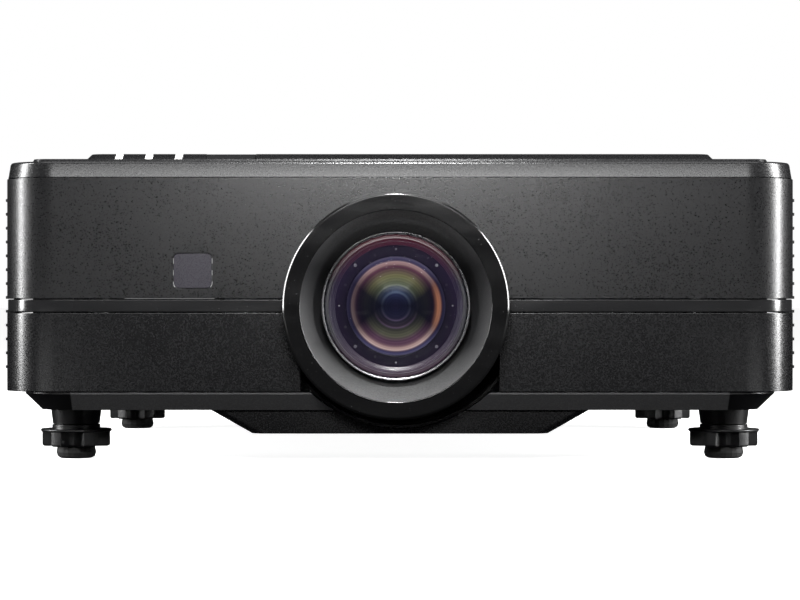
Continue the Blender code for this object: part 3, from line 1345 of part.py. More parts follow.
# ---- the whole projector -------------------------------------------------------------------
def main():
    for leftover in list(bpy.data.objects):
        bpy.data.objects.remove(leftover)
    case = material("textured_black_plastic", (0.035, 0.035, 0.038), 0.5)
    tray_black = material("tray_black_plastic", (0.03, 0.03, 0.033), 0.55)
    gloss = material("gloss_black_plastic", (0.012, 0.012, 0.013), 0.12)
    dark = material("flat_black", (0.006, 0.006, 0.006), 0.8)
    window = material("infrared_window", (0.09, 0.085, 0.1), 0.3)
    guide = material("light_guide_white", (0.85, 0.85, 0.83), 0.35)
    key_grey = material("key_grey", (0.16, 0.16, 0.165), 0.45)
    key_orange = material("key_orange", (0.5, 0.12, 0.02), 0.45)
    rubber = material("foot_rubber", (0.015, 0.015, 0.015), 0.8)
    knob = material("knob_black_plastic", (0.02, 0.02, 0.022), 0.45)
    screw = material("bright_screw", (0.55, 0.55, 0.56), 0.3, 1)
    anodised = material("black_anodised", (0.03, 0.03, 0.032), 0.35, 1)
    clear = material("coated_glass", (0.1, 0.08, 0.2), 0.03)
    brass = material("gear_brass", (0.6, 0.45, 0.18), 0.35, 1)
    zinc = material("zinc_sheet", (0.55, 0.56, 0.58), 0.35, 1)
    casting = material("cast_aluminium", (0.4, 0.41, 0.42), 0.5, 1)
    board = material("circuit_board", (0.01, 0.12, 0.05), 0.4)
    phosphor = material("phosphor_disc", (0.85, 0.7, 0.1), 0.4)
    base_tray(tray_black)
    belly_cover(tray_black)
    cover_screw(screw)
    front_fascias(case, gloss)
    front_ir_window(window)
    top_lid(case)
    top_cover_plate(case)
    status_lights(guide)
    top_ir_window(gloss)
    keys(key_grey, key_orange)
    side_grille("left_side_grille", -1, case)
    side_grille("right_side_grille", 1, case)
    rear_panel(case)
    connector_plate(zinc)
    ports(zinc)
    ac_inlet(dark)
    power_rocker(knob)
    for name, x, y in foot_places():
        foot(name, x, y, rubber, knob)
    lens_well(dark)
    lens_mount_frame(casting)
    lens_axis = pivot("lens_axis", (LENS_X, FRONT_Y, LENS_Z))
    shift_plates(casting, lens_axis)
    lens_shroud_ring(gloss, lens_axis)
    lens_barrel(anodised, lens_axis)
    focus_cell(anodised, lens_axis)
    retainer_ring(anodised, lens_axis)
    sags = (FRONT_GLASS_BULGE, FRONT_GLASS_HOLLOW)
    glass("front_glass", FRONT_GLASS_RADIUS, FRONT_GLASS_RIM, sags, clear, lens_axis)
    glass("inner_glass", INNER_GLASS_RADIUS, INNER_GLASS_RIM, (INNER_GLASS_BULGE, 0), clear, lens_axis)
    zoom_cell(anodised, lens_axis)
    zoom_rim = (ZOOM_CELL_START + ZOOM_GLASS_BULGE, ZOOM_CELL_START + ZOOM_CELL_LENGTH - WALL - FIT)
    glass("zoom_glass", ZOOM_GLASS_RADIUS, zoom_rim, (ZOOM_GLASS_BULGE, 0), clear, lens_axis)
    zoom_drive(brass, zinc, lens_axis)
    light_engine(casting)
    phosphor_wheel(phosphor)
    heat_sink(casting)
    power_supply(zinc)
    main_board(board)
    fan("left", -1, dark, knob)
    fan("right", 1, dark, knob)


main()
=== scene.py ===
"""Looks of the installation projector: finishes, casing edges, lens group, feet and studio."""

import json
import math

import bmesh
import bpy
from mathutils import Matrix, Vector


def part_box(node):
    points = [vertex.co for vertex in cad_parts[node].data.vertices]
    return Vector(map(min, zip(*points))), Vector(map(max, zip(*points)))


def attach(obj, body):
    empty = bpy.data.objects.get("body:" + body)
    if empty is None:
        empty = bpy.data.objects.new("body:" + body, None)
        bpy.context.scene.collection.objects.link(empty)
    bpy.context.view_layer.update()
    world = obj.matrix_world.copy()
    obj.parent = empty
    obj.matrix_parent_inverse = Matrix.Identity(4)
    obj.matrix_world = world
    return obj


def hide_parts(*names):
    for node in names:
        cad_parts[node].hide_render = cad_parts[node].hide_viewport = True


mm = 0.001
MERGE = 1e-6  # points nearer than this are one point
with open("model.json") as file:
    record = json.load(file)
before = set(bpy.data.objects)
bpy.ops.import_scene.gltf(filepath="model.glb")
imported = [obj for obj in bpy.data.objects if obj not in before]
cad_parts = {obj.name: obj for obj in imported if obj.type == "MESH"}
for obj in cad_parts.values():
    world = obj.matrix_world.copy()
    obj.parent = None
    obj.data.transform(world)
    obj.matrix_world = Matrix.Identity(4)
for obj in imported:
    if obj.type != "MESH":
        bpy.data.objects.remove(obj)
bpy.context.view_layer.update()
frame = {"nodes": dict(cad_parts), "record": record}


def corner(value):
    return [float(number) for number in value]


# ---- places read from the frame ------------------------------------------------------------
FASCIA = [corner(c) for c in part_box("front_upper_fascia")]
FRONT_Y = FASCIA[0][1]
SIDE_X = FASCIA[1][0]
RING = [corner(c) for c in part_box("lens_shroud_ring")]
LENS_X = (RING[0][0] + RING[1][0]) / 2
LENS_Z = (RING[0][2] + RING[1][2]) / 2
RING_RADIUS = (RING[1][0] - RING[0][0]) / 2
FEET = ["front_left", "front_right", "rear_left", "rear_right"]
KEYS = ["power", "menu", "up", "source", "enter", "down"]


# Painted reflection colours along the radius of the inner glass, for the light that comes from above
# and from below.
UPPER_RINGS = [
    (0.0, (0.012, 0.010, 0.028, 1)),
    (0.12, (0.010, 0.012, 0.034, 1)),
    (0.24, (0.022, 0.030, 0.075, 1)),
    (0.275, (0.110, 0.147, 0.220, 1)),
    (0.30, (0.030, 0.045, 0.090, 1)),
    (0.39, (0.060, 0.075, 0.085, 1)),
    (0.42, (0.150, 0.170, 0.120, 1)),
    (0.45, (0.070, 0.085, 0.045, 1)),
    (0.60, (0.150, 0.145, 0.065, 1)),
    (0.70, (0.110, 0.075, 0.060, 1)),
    (0.78, (0.090, 0.030, 0.055, 1)),
    (0.83, (0.300, 0.180, 0.180, 1)),
    (0.87, (0.440, 0.290, 0.280, 1)),
    (0.895, (0.090, 0.066, 0.110, 1)),
    (0.93, (0.040, 0.036, 0.085, 1)),
    (0.96, (0.110, 0.100, 0.160, 1)),
    (1.0, (0.020, 0.018, 0.050, 1)),
]
LOWER_RINGS = [
    (0.0, (0.012, 0.010, 0.028, 1)),
    (0.13, (0.010, 0.010, 0.026, 1)),
    (0.26, (0.016, 0.014, 0.030, 1)),
    (0.285, (0.080, 0.060, 0.110, 1)),
    (0.31, (0.020, 0.018, 0.026, 1)),
    (0.41, (0.030, 0.022, 0.030, 1)),
    (0.43, (0.100, 0.070, 0.110, 1)),
    (0.46, (0.030, 0.030, 0.024, 1)),
    (0.60, (0.090, 0.090, 0.060, 1)),
    (0.70, (0.090, 0.045, 0.075, 1)),
    (0.78, (0.120, 0.060, 0.090, 1)),
    (0.83, (0.380, 0.250, 0.240, 1)),
    (0.87, (0.600, 0.430, 0.400, 1)),
    (0.90, (0.110, 0.080, 0.120, 1)),
    (0.93, (0.040, 0.038, 0.100, 1)),
    (0.96, (0.100, 0.095, 0.170, 1)),
    (1.0, (0.020, 0.018, 0.050, 1)),
]


# ---- shaders -------------------------------------------------------------------------------
class Signal:
    """A shader socket in Python arithmetic; each operation adds its Math node."""

    def __init__(self, finish, socket):
        self.finish = finish
        self.socket = socket

    def math(self, operation, *values):
        return self.finish.out("ShaderNodeMath", {"operation": operation}, dict(enumerate(values)))

    def __add__(self, other):
        return self.math("ADD", self, other)

    def __sub__(self, other):
        return self.math("SUBTRACT", self, other)

    def __rsub__(self, other):
        return self.math("SUBTRACT", other, self)

    def __mul__(self, other):
        return self.math("MULTIPLY", self, other)

    def __pow__(self, other):
        return self.math("POWER", self, other)

    def __abs__(self):
        return self.math("ABSOLUTE", self)

    def waves(self, pitch):
        """Even waves from 0 to 1, one for each pitch."""
        return self.math("SINE", self * (math.tau / pitch)) * 0.5 + 0.5

    __radd__ = __add__
    __rmul__ = __mul__


class Finish:
    """One material: its Principled shader and the nodes that feed it."""

    def __init__(self, name, colour, roughness, metallic=0.0, **fixed):
        self.material = bpy.data.materials.new(name)
        self.material.use_nodes = True
        self.tree = self.material.node_tree
        self.shader = self.tree.nodes["Principled BSDF"]
        self.set("Base Color", (*colour, 1))
        self.set("Roughness", roughness)
        self.set("Metallic", metallic)
        for socket, value in fixed.items():
            self.set(socket.replace("_", " "), value)

    def set(self, socket, value):
        self.feed(self.shader.inputs[socket], value)

    def feed(self, target, value):
        if isinstance(value, Signal):
            self.tree.links.new(value.socket, target)
        else:
            target.default_value = value

    def out(self, kind, settings=None, sockets=None, output=0):
        """Adds a node: its settings first, then its sockets' values or links; returns one output."""
        node = self.tree.nodes.new(kind)
        for key, value in (settings or {}).items():
            if key == "stops":
                ramp = node.color_ramp
                for place, level in value[1:-1]:
                    ramp.elements.new(place)
                for element, (place, level) in zip(ramp.elements, value):
                    element.position = place
                    element.color = level
            else:
                setattr(node, key, value)
        for key, value in (sockets or {}).items():
            self.feed(node.inputs[key], value)
        return Signal(self, node.outputs[output])

    def place(self):
        """The point on the piece, in metres."""
        return self.out("ShaderNodeTexCoord", output="Object")

    def noise(self, size, detail=2.0, stretch=(1, 1, 1)):
        """Noise from 0 to 1 whose blobs are about size metres across."""
        spot = self.out("ShaderNodeMapping", {}, {"Vector": self.place(), "Scale": stretch})
        return self.out("ShaderNodeTexNoise", {}, {"Vector": spot, "Scale": 1 / size, "Detail": detail})

    def part(self, axis):
        return self.out("ShaderNodeSeparateXYZ", {}, {0: self.place()}, axis)

    def ramp(self, signal, low, high, to_low=0.0, to_high=1.0):
        sockets = {0: signal, 1: low, 2: high, 3: to_low, 4: to_high}
        return self.out("ShaderNodeMapRange", {"clamp": True}, sockets)

    def blend(self, share, first, second):
        """Colour that goes from first to second as share goes from 0 to 1."""
        first, second = [v if isinstance(v, Signal) else (*v, 1) for v in (first, second)]
        return self.out("ShaderNodeMix", {"data_type": "RGBA"}, {0: share, 6: first, 7: second}, 2)

    def bump(self, height, depth):
        """Relief of that depth in metres."""
        sockets = {"Height": height, "Distance": depth, "Strength": 1.0}
        return self.out("ShaderNodeBump", {}, sockets)

    def lens_radius(self):
        """Distance from the lens axis, in metres."""
        across, up = self.part("X") - LENS_X, self.part("Z") - LENS_Z
        return (across * across + up * up) ** 0.5


def moulded(name, colour, roughness, grain, relief, spread=0.25):
    """Spark-eroded moulded plastic: fine grain, faint cloudiness and rubbed high spots."""
    made = Finish(name, colour, roughness)
    fine, coarse = made.noise(grain, 3.0), made.noise(grain * 3.1, 2.0)
    cloud = made.noise(0.06, 3.0)
    peaks = made.ramp(fine, 0.42, 0.72)
    dark = [c * (1 - spread) for c in colour]
    light = [c * (1 + 1.6 * spread) for c in colour]
    made.set("Base Color", made.blend(peaks * 0.8 + cloud * 0.2, dark, light))
    made.set("Roughness", made.ramp(fine + cloud * 0.3, 0.4, 0.9, roughness * 0.8, roughness * 1.25))
    made.set("Normal", made.bump(fine + coarse * 0.6, relief))
    return made.material


def satin_cone():
    """Grained plastic of the ring's cone, painted paler above and below the lens, where the lamps light
    it.
    """
    made = Finish("satin_cone_plastic", (0.034, 0.034, 0.035), 0.4)
    fine = made.noise(0.0009, 3.0)
    # painted light: the cone's colour turns paler towards its top and bottom
    up = (made.part("Z") - LENS_Z) * (1 / (50 * mm))
    painted_light_share = made.ramp(abs(up), 0.45, 1.0)
    shade = made.blend(painted_light_share, (0.010, 0.010, 0.011), (0.085, 0.085, 0.086))
    dark = made.blend(0.6, shade, (0.004, 0.004, 0.004))
    made.set("Base Color", made.blend(made.ramp(fine, 0.3, 0.7), dark, shade))
    made.set("Roughness", made.ramp(fine, 0.3, 0.7, 0.34, 0.5))
    made.set("Normal", made.bump(fine, 0.0001))
    return made.material


def polished(name, colour, roughness):
    """Smooth gloss plastic with faint wipe marks and dust."""
    made = Finish(name, colour, roughness)
    wipes = made.noise(0.012, 4.0, (0.25, 1, 1))
    dust = made.ramp(made.noise(0.0011, 1.0), 0.72, 0.8)
    made.set("Roughness", made.ramp(wipes, 0.35, 0.7, roughness * 0.8, roughness * 1.5) + dust * 0.15)
    made.set("Base Color", made.blend(dust * 0.5, colour, [c + 0.03 for c in colour]))
    made.set("Normal", made.bump(made.noise(0.03, 2.0), 0.00002))
    return made.material


def turned_metal(name, colour, roughness):
    """Metal turned about the lens axis: fine rings of relief and gloss."""
    made = Finish(name, colour, roughness, 1.0)
    rings = made.lens_radius().waves(0.45 * mm)
    patchy = made.noise(0.004, 2.0)
    gloss = rings * 0.6 + patchy * 0.4
    dull, bright = [c * 0.8 for c in colour], [min(1, c * 1.2) for c in colour]
    made.set("Roughness", made.ramp(gloss, 0.1, 0.9, roughness * 0.7, roughness * 1.3))
    made.set("Base Color", made.blend(patchy, dull, bright))
    made.set("Normal", made.bump(rings, 0.00003))
    return made.material


def metal(name, colour, roughness, blob=0.002, relief=0.00005, stretch=(1, 1, 1)):
    """Cast, rolled or plated metal with uneven gloss."""
    made = Finish(name, colour, roughness, 1.0)
    grain, patch = made.noise(blob, 3.0, stretch), made.noise(0.03, 2.0)
    gloss = grain * 0.5 + patch * 0.5
    made.set("Roughness", made.ramp(gloss, 0.3, 0.7, roughness * 0.75, roughness * 1.3))
    made.set("Base Color", made.blend(patch, [c * 0.82 for c in colour], colour))
    made.set("Normal", made.bump(grain, relief))
    return made.material


def rubber(name, colour):
    """Soft rubber, dusty in its low spots."""
    made = Finish(name, colour, 0.75)
    speck, cloud = made.noise(0.0008, 3.0), made.noise(0.01, 3.0)
    dusty = [c * 1.9 + 0.004 for c in colour]
    made.set("Base Color", made.blend(made.ramp(cloud, 0.4, 0.75), colour, dusty))
    made.set("Roughness", made.ramp(speck, 0.3, 0.7, 0.65, 0.9))
    made.set("Normal", made.bump(speck, 0.00012))
    return made.material


def milky(name):
    """White light guide with a soft inner glow."""
    made = Finish(name, (0.86, 0.86, 0.84), 0.3)
    cloud = made.noise(0.003, 2.0)
    made.set("Base Color", made.blend(cloud, (0.8, 0.8, 0.79), (0.92, 0.92, 0.9)))
    made.set("Emission Color", made.blend(cloud, (0.9, 0.9, 0.88), (1, 1, 0.98)))
    made.set("Emission Strength", 0.35)
    made.set("Normal", made.bump(made.noise(0.0009), 0.00002))
    return made.material


def circuit(name):
    """Green solder mask over fine copper runs."""
    made = Finish(name, (0.01, 0.1, 0.045), 0.35)
    runs = made.out("ShaderNodeTexBrick", {"offset": 0.5}, {
        "Vector": made.place(), "Scale": 90.0, "Mortar Size": 0.04,
    }, "Fac")
    made.set("Base Color", made.blend(runs, (0.008, 0.07, 0.03), (0.03, 0.18, 0.08)))
    made.set("Roughness", made.ramp(made.noise(0.004), 0.3, 0.7, 0.25, 0.45))
    made.set("Normal", made.bump(runs, 0.00004))
    return made.material


def coated_front_glass():
    """Clear front element: see-through, with a faint painted violet sheen that grows towards its rim.
    """
    made = Finish("coated_front_glass", (0.02, 0.016, 0.05), 0.03, Specular_IOR_Level=0.03)
    # painted sheen: violet and less see-through towards the rim
    rim = made.ramp(made.lens_radius(), 22 * mm, 39 * mm)
    made.set("Base Color", made.blend(rim, (0.008, 0.010, 0.03), (0.05, 0.03, 0.09)))
    made.set("Roughness", made.ramp(made.noise(0.012, 4.0), 0.4, 0.7, 0.02, 0.05))
    made.set("Alpha", rim * 0.08 + 0.03)
    made.set("Normal", made.bump(made.noise(0.02), 0.000005))
    return made.material


def baffle_finish():
    """Black baffle steps with a painted reflection of the coatings' colours, red above and violet
    below, glowing in emission.
    """
    made = Finish("baffle_black", (0.02, 0.02, 0.022), 0.35)
    rings = made.lens_radius().waves(0.9 * mm)
    # painted reflection: red towards the top, violet towards the bottom, darker along fine rings
    up = (made.part("Z") - LENS_Z) * (1 / (38 * mm))
    above, below = made.ramp(up, 0.35, 1.0), made.ramp(up, -0.95, -0.4, 1.0, 0.0)
    violet = made.blend(below, (0.004, 0.004, 0.006), (0.05, 0.018, 0.04))
    tint = made.blend(above, violet, (0.095, 0.016, 0.026))
    tint = made.blend(rings * 0.55, tint, (0.006, 0.006, 0.01))
    made.set("Base Color", made.blend(made.noise(0.003), (0.012, 0.012, 0.014), (0.03, 0.03, 0.034)))
    made.set("Roughness", made.ramp(rings, 0, 1, 0.25, 0.45))
    # the painted reflection glows in emission
    made.set("Emission Color", tint)
    made.set("Emission Strength", 0.8)
    made.set("Normal", made.bump(rings, 0.00004))
    return made.material


def coated_inner_glass():
    """Deep inner element: dark, with painted reflections of its coatings as coloured rings, glowing in
    emission.
    """
    made = Finish("coated_inner_glass", (0.01, 0.01, 0.015), 0.04, Specular_IOR_Level=0.02)
    scale = 1 / (30 * mm)  # the shares below run from the axis to the rim
    up = (made.part("Z") - LENS_Z) * scale
    across = (made.part("X") - LENS_X) * scale
    share = made.lens_radius() * scale
    # painted reflections: rings of colour from the axis to the rim, the upper set above and the lower
    # set below
    upper = made.out("ShaderNodeValToRGB", {"stops": UPPER_RINGS}, {0: share})
    lower = made.out("ShaderNodeValToRGB", {"stops": LOWER_RINGS}, {0: share})
    both = made.blend(made.ramp(up, -0.25, 0.25), lower, upper)
    # painted shade darkens the rings to the left and right of the middle
    flank = made.ramp(abs(across) - abs(up) * 1.2, -0.35, 0.3)
    inside = made.ramp(share, 0.72, 0.84, 1.0, 0.82)
    glow = made.blend(flank * inside * 0.95, both, (0.002, 0.002, 0.004))
    # a painted orange glint on the right of the bright rim ring
    edge = made.ramp(share, 0.74, 0.82) * made.ramp(share, 0.86, 0.92, 1.0, 0.0)
    painted_amber_glint = made.ramp(across, 0.68, 0.84) * edge
    glow = made.blend(painted_amber_glint * 0.7, glow, (0.42, 0.16, 0.07))
    glow = made.blend(share.waves(1 / 19) * 0.22, glow, (0.002, 0.002, 0.006))
    made.set("Base Color", made.blend(0.9, glow, (0.002, 0.002, 0.004)))
    made.set("Roughness", made.ramp(made.noise(0.01, 3.0), 0.4, 0.7, 0.03, 0.06))
    # the painted reflections glow in emission
    made.set("Emission Color", glow)
    made.set("Emission Strength", 0.9)
    return made.material


# ---- meshes --------------------------------------------------------------------------------
def closed(bm):
    """Merges doubles, then turns every face outwards."""
    bmesh.ops.remove_doubles(bm, verts=bm.verts, dist=MERGE)
    bmesh.ops.recalc_face_normals(bm, faces=bm.faces)


def piece(name, bm, finishes, body, nodes=()):
    """Makes a bmesh a named piece that rides on a body; nodes are the CAD nodes it stands for."""
    mesh = bpy.data.meshes.new(name)
    bm.to_mesh(mesh)
    bm.free()
    for finish in finishes if isinstance(finishes, (list, tuple)) else [finishes]:
        mesh.materials.append(finish)
    mesh.shade_smooth()
    made = bpy.data.objects.new(name, mesh)
    bpy.context.scene.collection.objects.link(made)
    mesh.set_sharp_from_angle(angle=math.radians(50))
    even = made.modifiers.new("Even shading", "WEIGHTED_NORMAL")
    even.keep_sharp = True
    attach(made, body)
    if nodes:
        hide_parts(*nodes)
    return made


def node_bmesh(node):
    """A merged copy of a CAD node's mesh, with its flat stretches made single faces."""
    bm = bmesh.new()
    bm.from_mesh(frame["nodes"][node].data)
    bmesh.ops.remove_doubles(bm, verts=bm.verts, dist=MERGE)
    bmesh.ops.dissolve_limit(bm, angle_limit=math.radians(1.5), verts=bm.verts, edges=bm.edges)
    return bm


def soften(bm, width, segments=2, angle=35):
    """Bevels the edges that turn by more than angle."""
    limit = math.radians(angle)
    edges = [e for e in bm.edges if len(e.link_faces) == 2 and e.calc_face_angle(0) > limit]
    bmesh.ops.bevel(
        bm,
        geom=edges,
        offset=width,
        offset_type="OFFSET",
        segments=segments,
        profile=0.5,
        affect="EDGES",
        clamp_overlap=True,
        material=-1,
    )


def revolve(profile, steps, ring=True, sweep=math.tau, start=0.0):
    """Turns a profile of (radius, depth behind the fascia's face) about the lens axis."""
    bm = bmesh.new()
    verts = []
    for radius, along in profile:
        across, rise = radius * math.cos(start), radius * math.sin(start)
        verts.append(bm.verts.new((LENS_X + across, FRONT_Y + along, LENS_Z + rise)))
    ends = verts[1:] + verts[:1] if ring else verts[1:]
    edges = [bm.edges.new(pair) for pair in zip(verts, ends)]
    whole = sweep == math.tau
    bmesh.ops.spin(
        bm,
        geom=verts + edges,
        cent=(LENS_X, FRONT_Y, LENS_Z),
        axis=(0, -1, 0),
        dvec=(0, 0, 0),
        angle=sweep,
        steps=steps,
        use_merge=whole,
        use_duplicate=False,
    )
    if not whole:
        rims = [e for e in bm.edges if e.is_boundary]
        bmesh.ops.holes_fill(bm, edges=rims, sides=0)
    closed(bm)
    return bm


def body_of(node):
    return next(body for body, nodes in frame["record"]["behaviour"]["bodies"].items() if node in nodes)


def softened(node, finish, width, segments=2, angle=35):
    """Stands for a CAD node with the same shape and moulded edge radii."""
    bm = node_bmesh(node)
    soften(bm, width, segments, angle)
    return piece(f"{node}_shell", bm, finish, body_of(node), [node])


def paint(node, finish):
    """Gives a CAD node that keeps its own mesh its finish."""
    shown = frame["nodes"][node]
    shown.data.materials.clear()
    shown.data.materials.append(finish)


# ---- lens group ----------------------------------------------------------------------------
RING_FRONT = -10.0 * mm  # depths are behind the fascia's face
RING_EDGE = 1.2 * mm
BAND_INNER = 56.2 * mm
THROAT_RADIUS = 44.2 * mm
RIM_RADII = (42.5 * mm, 43.9 * mm)
CONE_END = 8.0 * mm
TUBE_END = 22.0 * mm
RING_SKIN = 2.2 * mm
RING_BACK = -1.2 * mm
CELL_RADIUS = 41.9 * mm
CELL_SPAN = (4.0 * mm, 34.0 * mm)
GLASS_RADIUS = 39.5 * mm
GLASS_SPAN = (5.0 * mm, 8.0 * mm)
GLASS_SAGS = (6.5 * mm, 4.5 * mm)
RETAINER_SPAN = (14.0 * mm, 15.5 * mm)
RETAINER_RADII = (36.0 * mm, 29.3 * mm)
INNER_RADIUS = 29.9 * mm
INNER_SPAN = (16.2 * mm, 26.7 * mm)
INNER_SAG = 7.0 * mm
INNER_STOP = 27.0 * mm
GAP = 0.3 * mm  # clearance round the glasses and the retainer
FINE = 160  # steps round the lens


def lens_ring(gloss, satin):
    """Ring in front of the fascia: gloss edge and flat band, satin inward cone."""
    profile = [
        (RING_RADIUS, RING_BACK),
        (RING_RADIUS, RING_FRONT + RING_EDGE),
        (RING_RADIUS - RING_EDGE, RING_FRONT),
        (BAND_INNER, RING_FRONT),
        (THROAT_RADIUS, CONE_END),
        (THROAT_RADIUS, TUBE_END),
        (THROAT_RADIUS + RING_SKIN, TUBE_END),
        (THROAT_RADIUS + RING_SKIN, CONE_END),
        (BAND_INNER, RING_FRONT + 2 * RING_SKIN),
        (RING_RADIUS - RING_SKIN, RING_FRONT + 2 * RING_SKIN),
        (RING_RADIUS - RING_SKIN, RING_BACK),
    ]
    bm = revolve(profile, FINE)
    soften(bm, 0.35 * mm, 3, 25)
    for face in bm.faces:
        middle = face.calc_center_median()
        radius = math.hypot(middle.x - LENS_X, middle.z - LENS_Z)
        face.material_index = int(radius < BAND_INNER - 0.5 * mm)
    piece("lens_ring", bm, [gloss, satin], "lens", ["lens_shroud_ring"])


def barrel_rim(finish):
    """Bright turned rim round the front of the barrel."""
    inner, outer = RIM_RADII
    profile = [
        (inner, 2.6 * mm),
        (outer, 2.6 * mm),
        (outer, 1.2 * mm),
        (outer - 0.6 * mm, 0.5 * mm),
        (inner, 0.9 * mm),
    ]
    bm = revolve(profile, FINE)
    soften(bm, 0.12 * mm, 2, 20)
    piece("barrel_rim", bm, finish, "lens")


def stepped_cell(finish):
    """Cell of the front glasses: fine baffle steps from the front seat down to the retainer."""
    seat, floor = GLASS_SPAN[1] + GAP, INNER_SPAN[1] + GAP
    wide, narrow = GLASS_RADIUS - 1.2 * mm, RETAINER_RADII[0] + GAP
    shelf = RETAINER_SPAN[1] + GAP
    profile = [(GLASS_RADIUS + GAP, CELL_SPAN[0]), (GLASS_RADIUS + GAP, seat)]
    steps = 7
    for i in range(steps):
        radius = wide + (narrow - wide) * i / (steps - 1)
        for j in (i, i + 0.75):
            profile.append((radius, seat + (RETAINER_SPAN[0] - GAP - seat) * j / steps))
    profile += [(narrow, shelf), (INNER_RADIUS + GAP, shelf), (INNER_RADIUS + GAP, floor)]
    profile += [(INNER_STOP, floor), (INNER_STOP, CELL_SPAN[1]), (CELL_RADIUS, CELL_SPAN[1])]
    profile += [(CELL_RADIUS, CELL_SPAN[0] + 0.5 * mm), (CELL_RADIUS - 0.5 * mm, CELL_SPAN[0])]
    bm = revolve(profile, FINE)
    piece("stepped_cell", bm, finish, "focus_group", ["focus_cell"])


def spots(bm, radius, angles, size, depth, height):
    """Low round heads at the given angles round the lens axis."""
    for angle in angles:
        turn = math.radians(angle)
        place = (LENS_X + radius * math.cos(turn), FRONT_Y + depth, LENS_Z + radius * math.sin(turn))
        matrix = Matrix.Translation(place) @ Matrix.Rotation(math.radians(90), 4, "X")
        bmesh.ops.create_cone(
            bm, cap_ends=True, segments=24, radius1=size, radius2=size, depth=height, matrix=matrix
        )


def join(whole, part):
    """Adds one bmesh to another and frees it."""
    mesh = bpy.data.meshes.new("joined")
    part.to_mesh(mesh)
    part.free()
    whole.from_mesh(mesh)
    bpy.data.meshes.remove(mesh)


def retainer(finish, screw, hole_shade):
    """Retainer in four arcs with screws on its joints, small screws between, and spanner holes painted
    as thin black discs of shade.
    """
    outer, inner = RETAINER_RADII
    face, end = RETAINER_SPAN
    lip = [(inner, face + 0.5 * mm), (inner + 0.8 * mm, face)]
    arc = [(outer, face), (outer, end), (inner, end), *lip]
    whole = bmesh.new()
    for i in range(4):
        start = math.radians(45.7 + 90 * i)
        join(whole, revolve(arc, 36, sweep=math.radians(88.6), start=start))
    low = face + 0.7 * mm  # the bridge under the arcs' joints
    join(whole, revolve([(outer, low), (outer, end), (inner, end), (inner, low)], FINE))
    piece("retainer_arcs", whole, finish, "focus_group", ["retainer_ring"])
    heads = bmesh.new()
    spots(heads, 34.0 * mm, (45, 135, 225, 315), 0.95 * mm, face - 0.1 * mm, 0.5 * mm)
    spots(heads, 33.6 * mm, (0, 90, 180, 270), 0.6 * mm, face - 0.05 * mm, 0.3 * mm)
    soften(heads, 0.12 * mm, 2, 60)
    piece("retainer_screws", heads, screw, "focus_group")
    # painted shade: thin black discs on the retainer's face stand for the spanner holes
    holes = bmesh.new()
    spots(holes, 32.4 * mm, [22.5 + 45 * i for i in range(8)], 0.8 * mm, face - 0.02 * mm, 0.06 * mm)
    piece("spanner_hole_shade", holes, hole_shade, "focus_group")


def dome(radius, rim, sag, steps):
    """Points of a bulged face from the axis to its rim."""
    curve = (radius**2 + sag**2) / (2 * sag)
    share = [i / steps for i in range(steps + 1)]
    return [(radius * s, rim - sag + curve - math.sqrt(curve**2 - (radius * s) ** 2)) for s in share]


def glasses(front, inner):
    """Front meniscus and the deep inner element."""
    faces = dome(GLASS_RADIUS, GLASS_SPAN[0], GLASS_SAGS[0], 24)
    faces += dome(GLASS_RADIUS, GLASS_SPAN[1], GLASS_SAGS[1], 24)[::-1]
    bm = revolve(faces, FINE, False)
    piece("front_lens", bm, front, "focus_group", ["front_glass"])
    faces = dome(INNER_RADIUS, INNER_SPAN[0], INNER_SAG, 24)
    faces += [(INNER_RADIUS, INNER_SPAN[1]), (0, INNER_SPAN[1])]
    bm = revolve(faces, FINE, False)
    piece("inner_lens", bm, inner, "focus_group", ["inner_glass"])


# ---- studio --------------------------------------------------------------------------------
CAMERA_DISTANCE = 1.570  # in front of the fascia's face
CAMERA_HEIGHT = 0.0959
FOCAL_LENGTH = 120.5
SENSOR_WIDTH = 36
AMBIENT = (0.012, 0.012, 0.013)
FLOOR_GLOW = 0.93
LIGHTS = [
    # name, place, target, size, power
    ("near_top", (0, FRONT_Y - 0.5, 0.27), (0, FRONT_Y, 0.16), (0.26, 0.07), 1.5),
    ("high_front", (0, FRONT_Y - 2.4, 1.2), (0, FRONT_Y, 0.15), (1.8, 0.4), 25),
    ("cone_light", (0, FRONT_Y - 0.25, 0.55), (0, FRONT_Y, 0.05), (0.06, 0.06), 5.5),
    ("overhead", (0, FRONT_Y + 0.3, 1.6), (0, FRONT_Y + 0.25, 0.1), (1.4, 0.8), 11),
    ("left_strip", (-1.35, FRONT_Y - 0.05, 0.56), (-SIDE_X, FRONT_Y, 0.15), (0.3, 1.1), 36),
    ("right_strip", (1.35, FRONT_Y - 0.1, 0.56), (SIDE_X, FRONT_Y, 0.15), (0.3, 1.1), 50),
    ("low_left", (-0.4, FRONT_Y - 0.42, 0.02), (0, FRONT_Y, 0.1), (0.3, 0.04), 0.12),
    ("low_right", (0.4, FRONT_Y - 0.42, 0.02), (0, FRONT_Y, 0.1), (0.3, 0.04), 0.1),
]


def camera():
    data = bpy.data.cameras.new("studio_camera")
    data.lens = FOCAL_LENGTH
    data.sensor_width = SENSOR_WIDTH
    made = bpy.data.objects.new("studio_camera", data)
    bpy.context.scene.collection.objects.link(made)
    made.location = (0, FRONT_Y - CAMERA_DISTANCE, CAMERA_HEIGHT)
    made.rotation_euler = (math.radians(90), 0, 0)
    bpy.context.scene.camera = made


def softbox(name, place, target, size, power):
    data = bpy.data.lights.new(name, "AREA")
    data.shape = "RECTANGLE"
    data.size, data.size_y = size
    data.energy = power
    made = bpy.data.objects.new(name, data)
    bpy.context.scene.collection.objects.link(made)
    made.location = place
    made.rotation_euler = (Vector(target) - Vector(place)).to_track_quat("-Z", "Y").to_euler()
    made.visible_camera = False


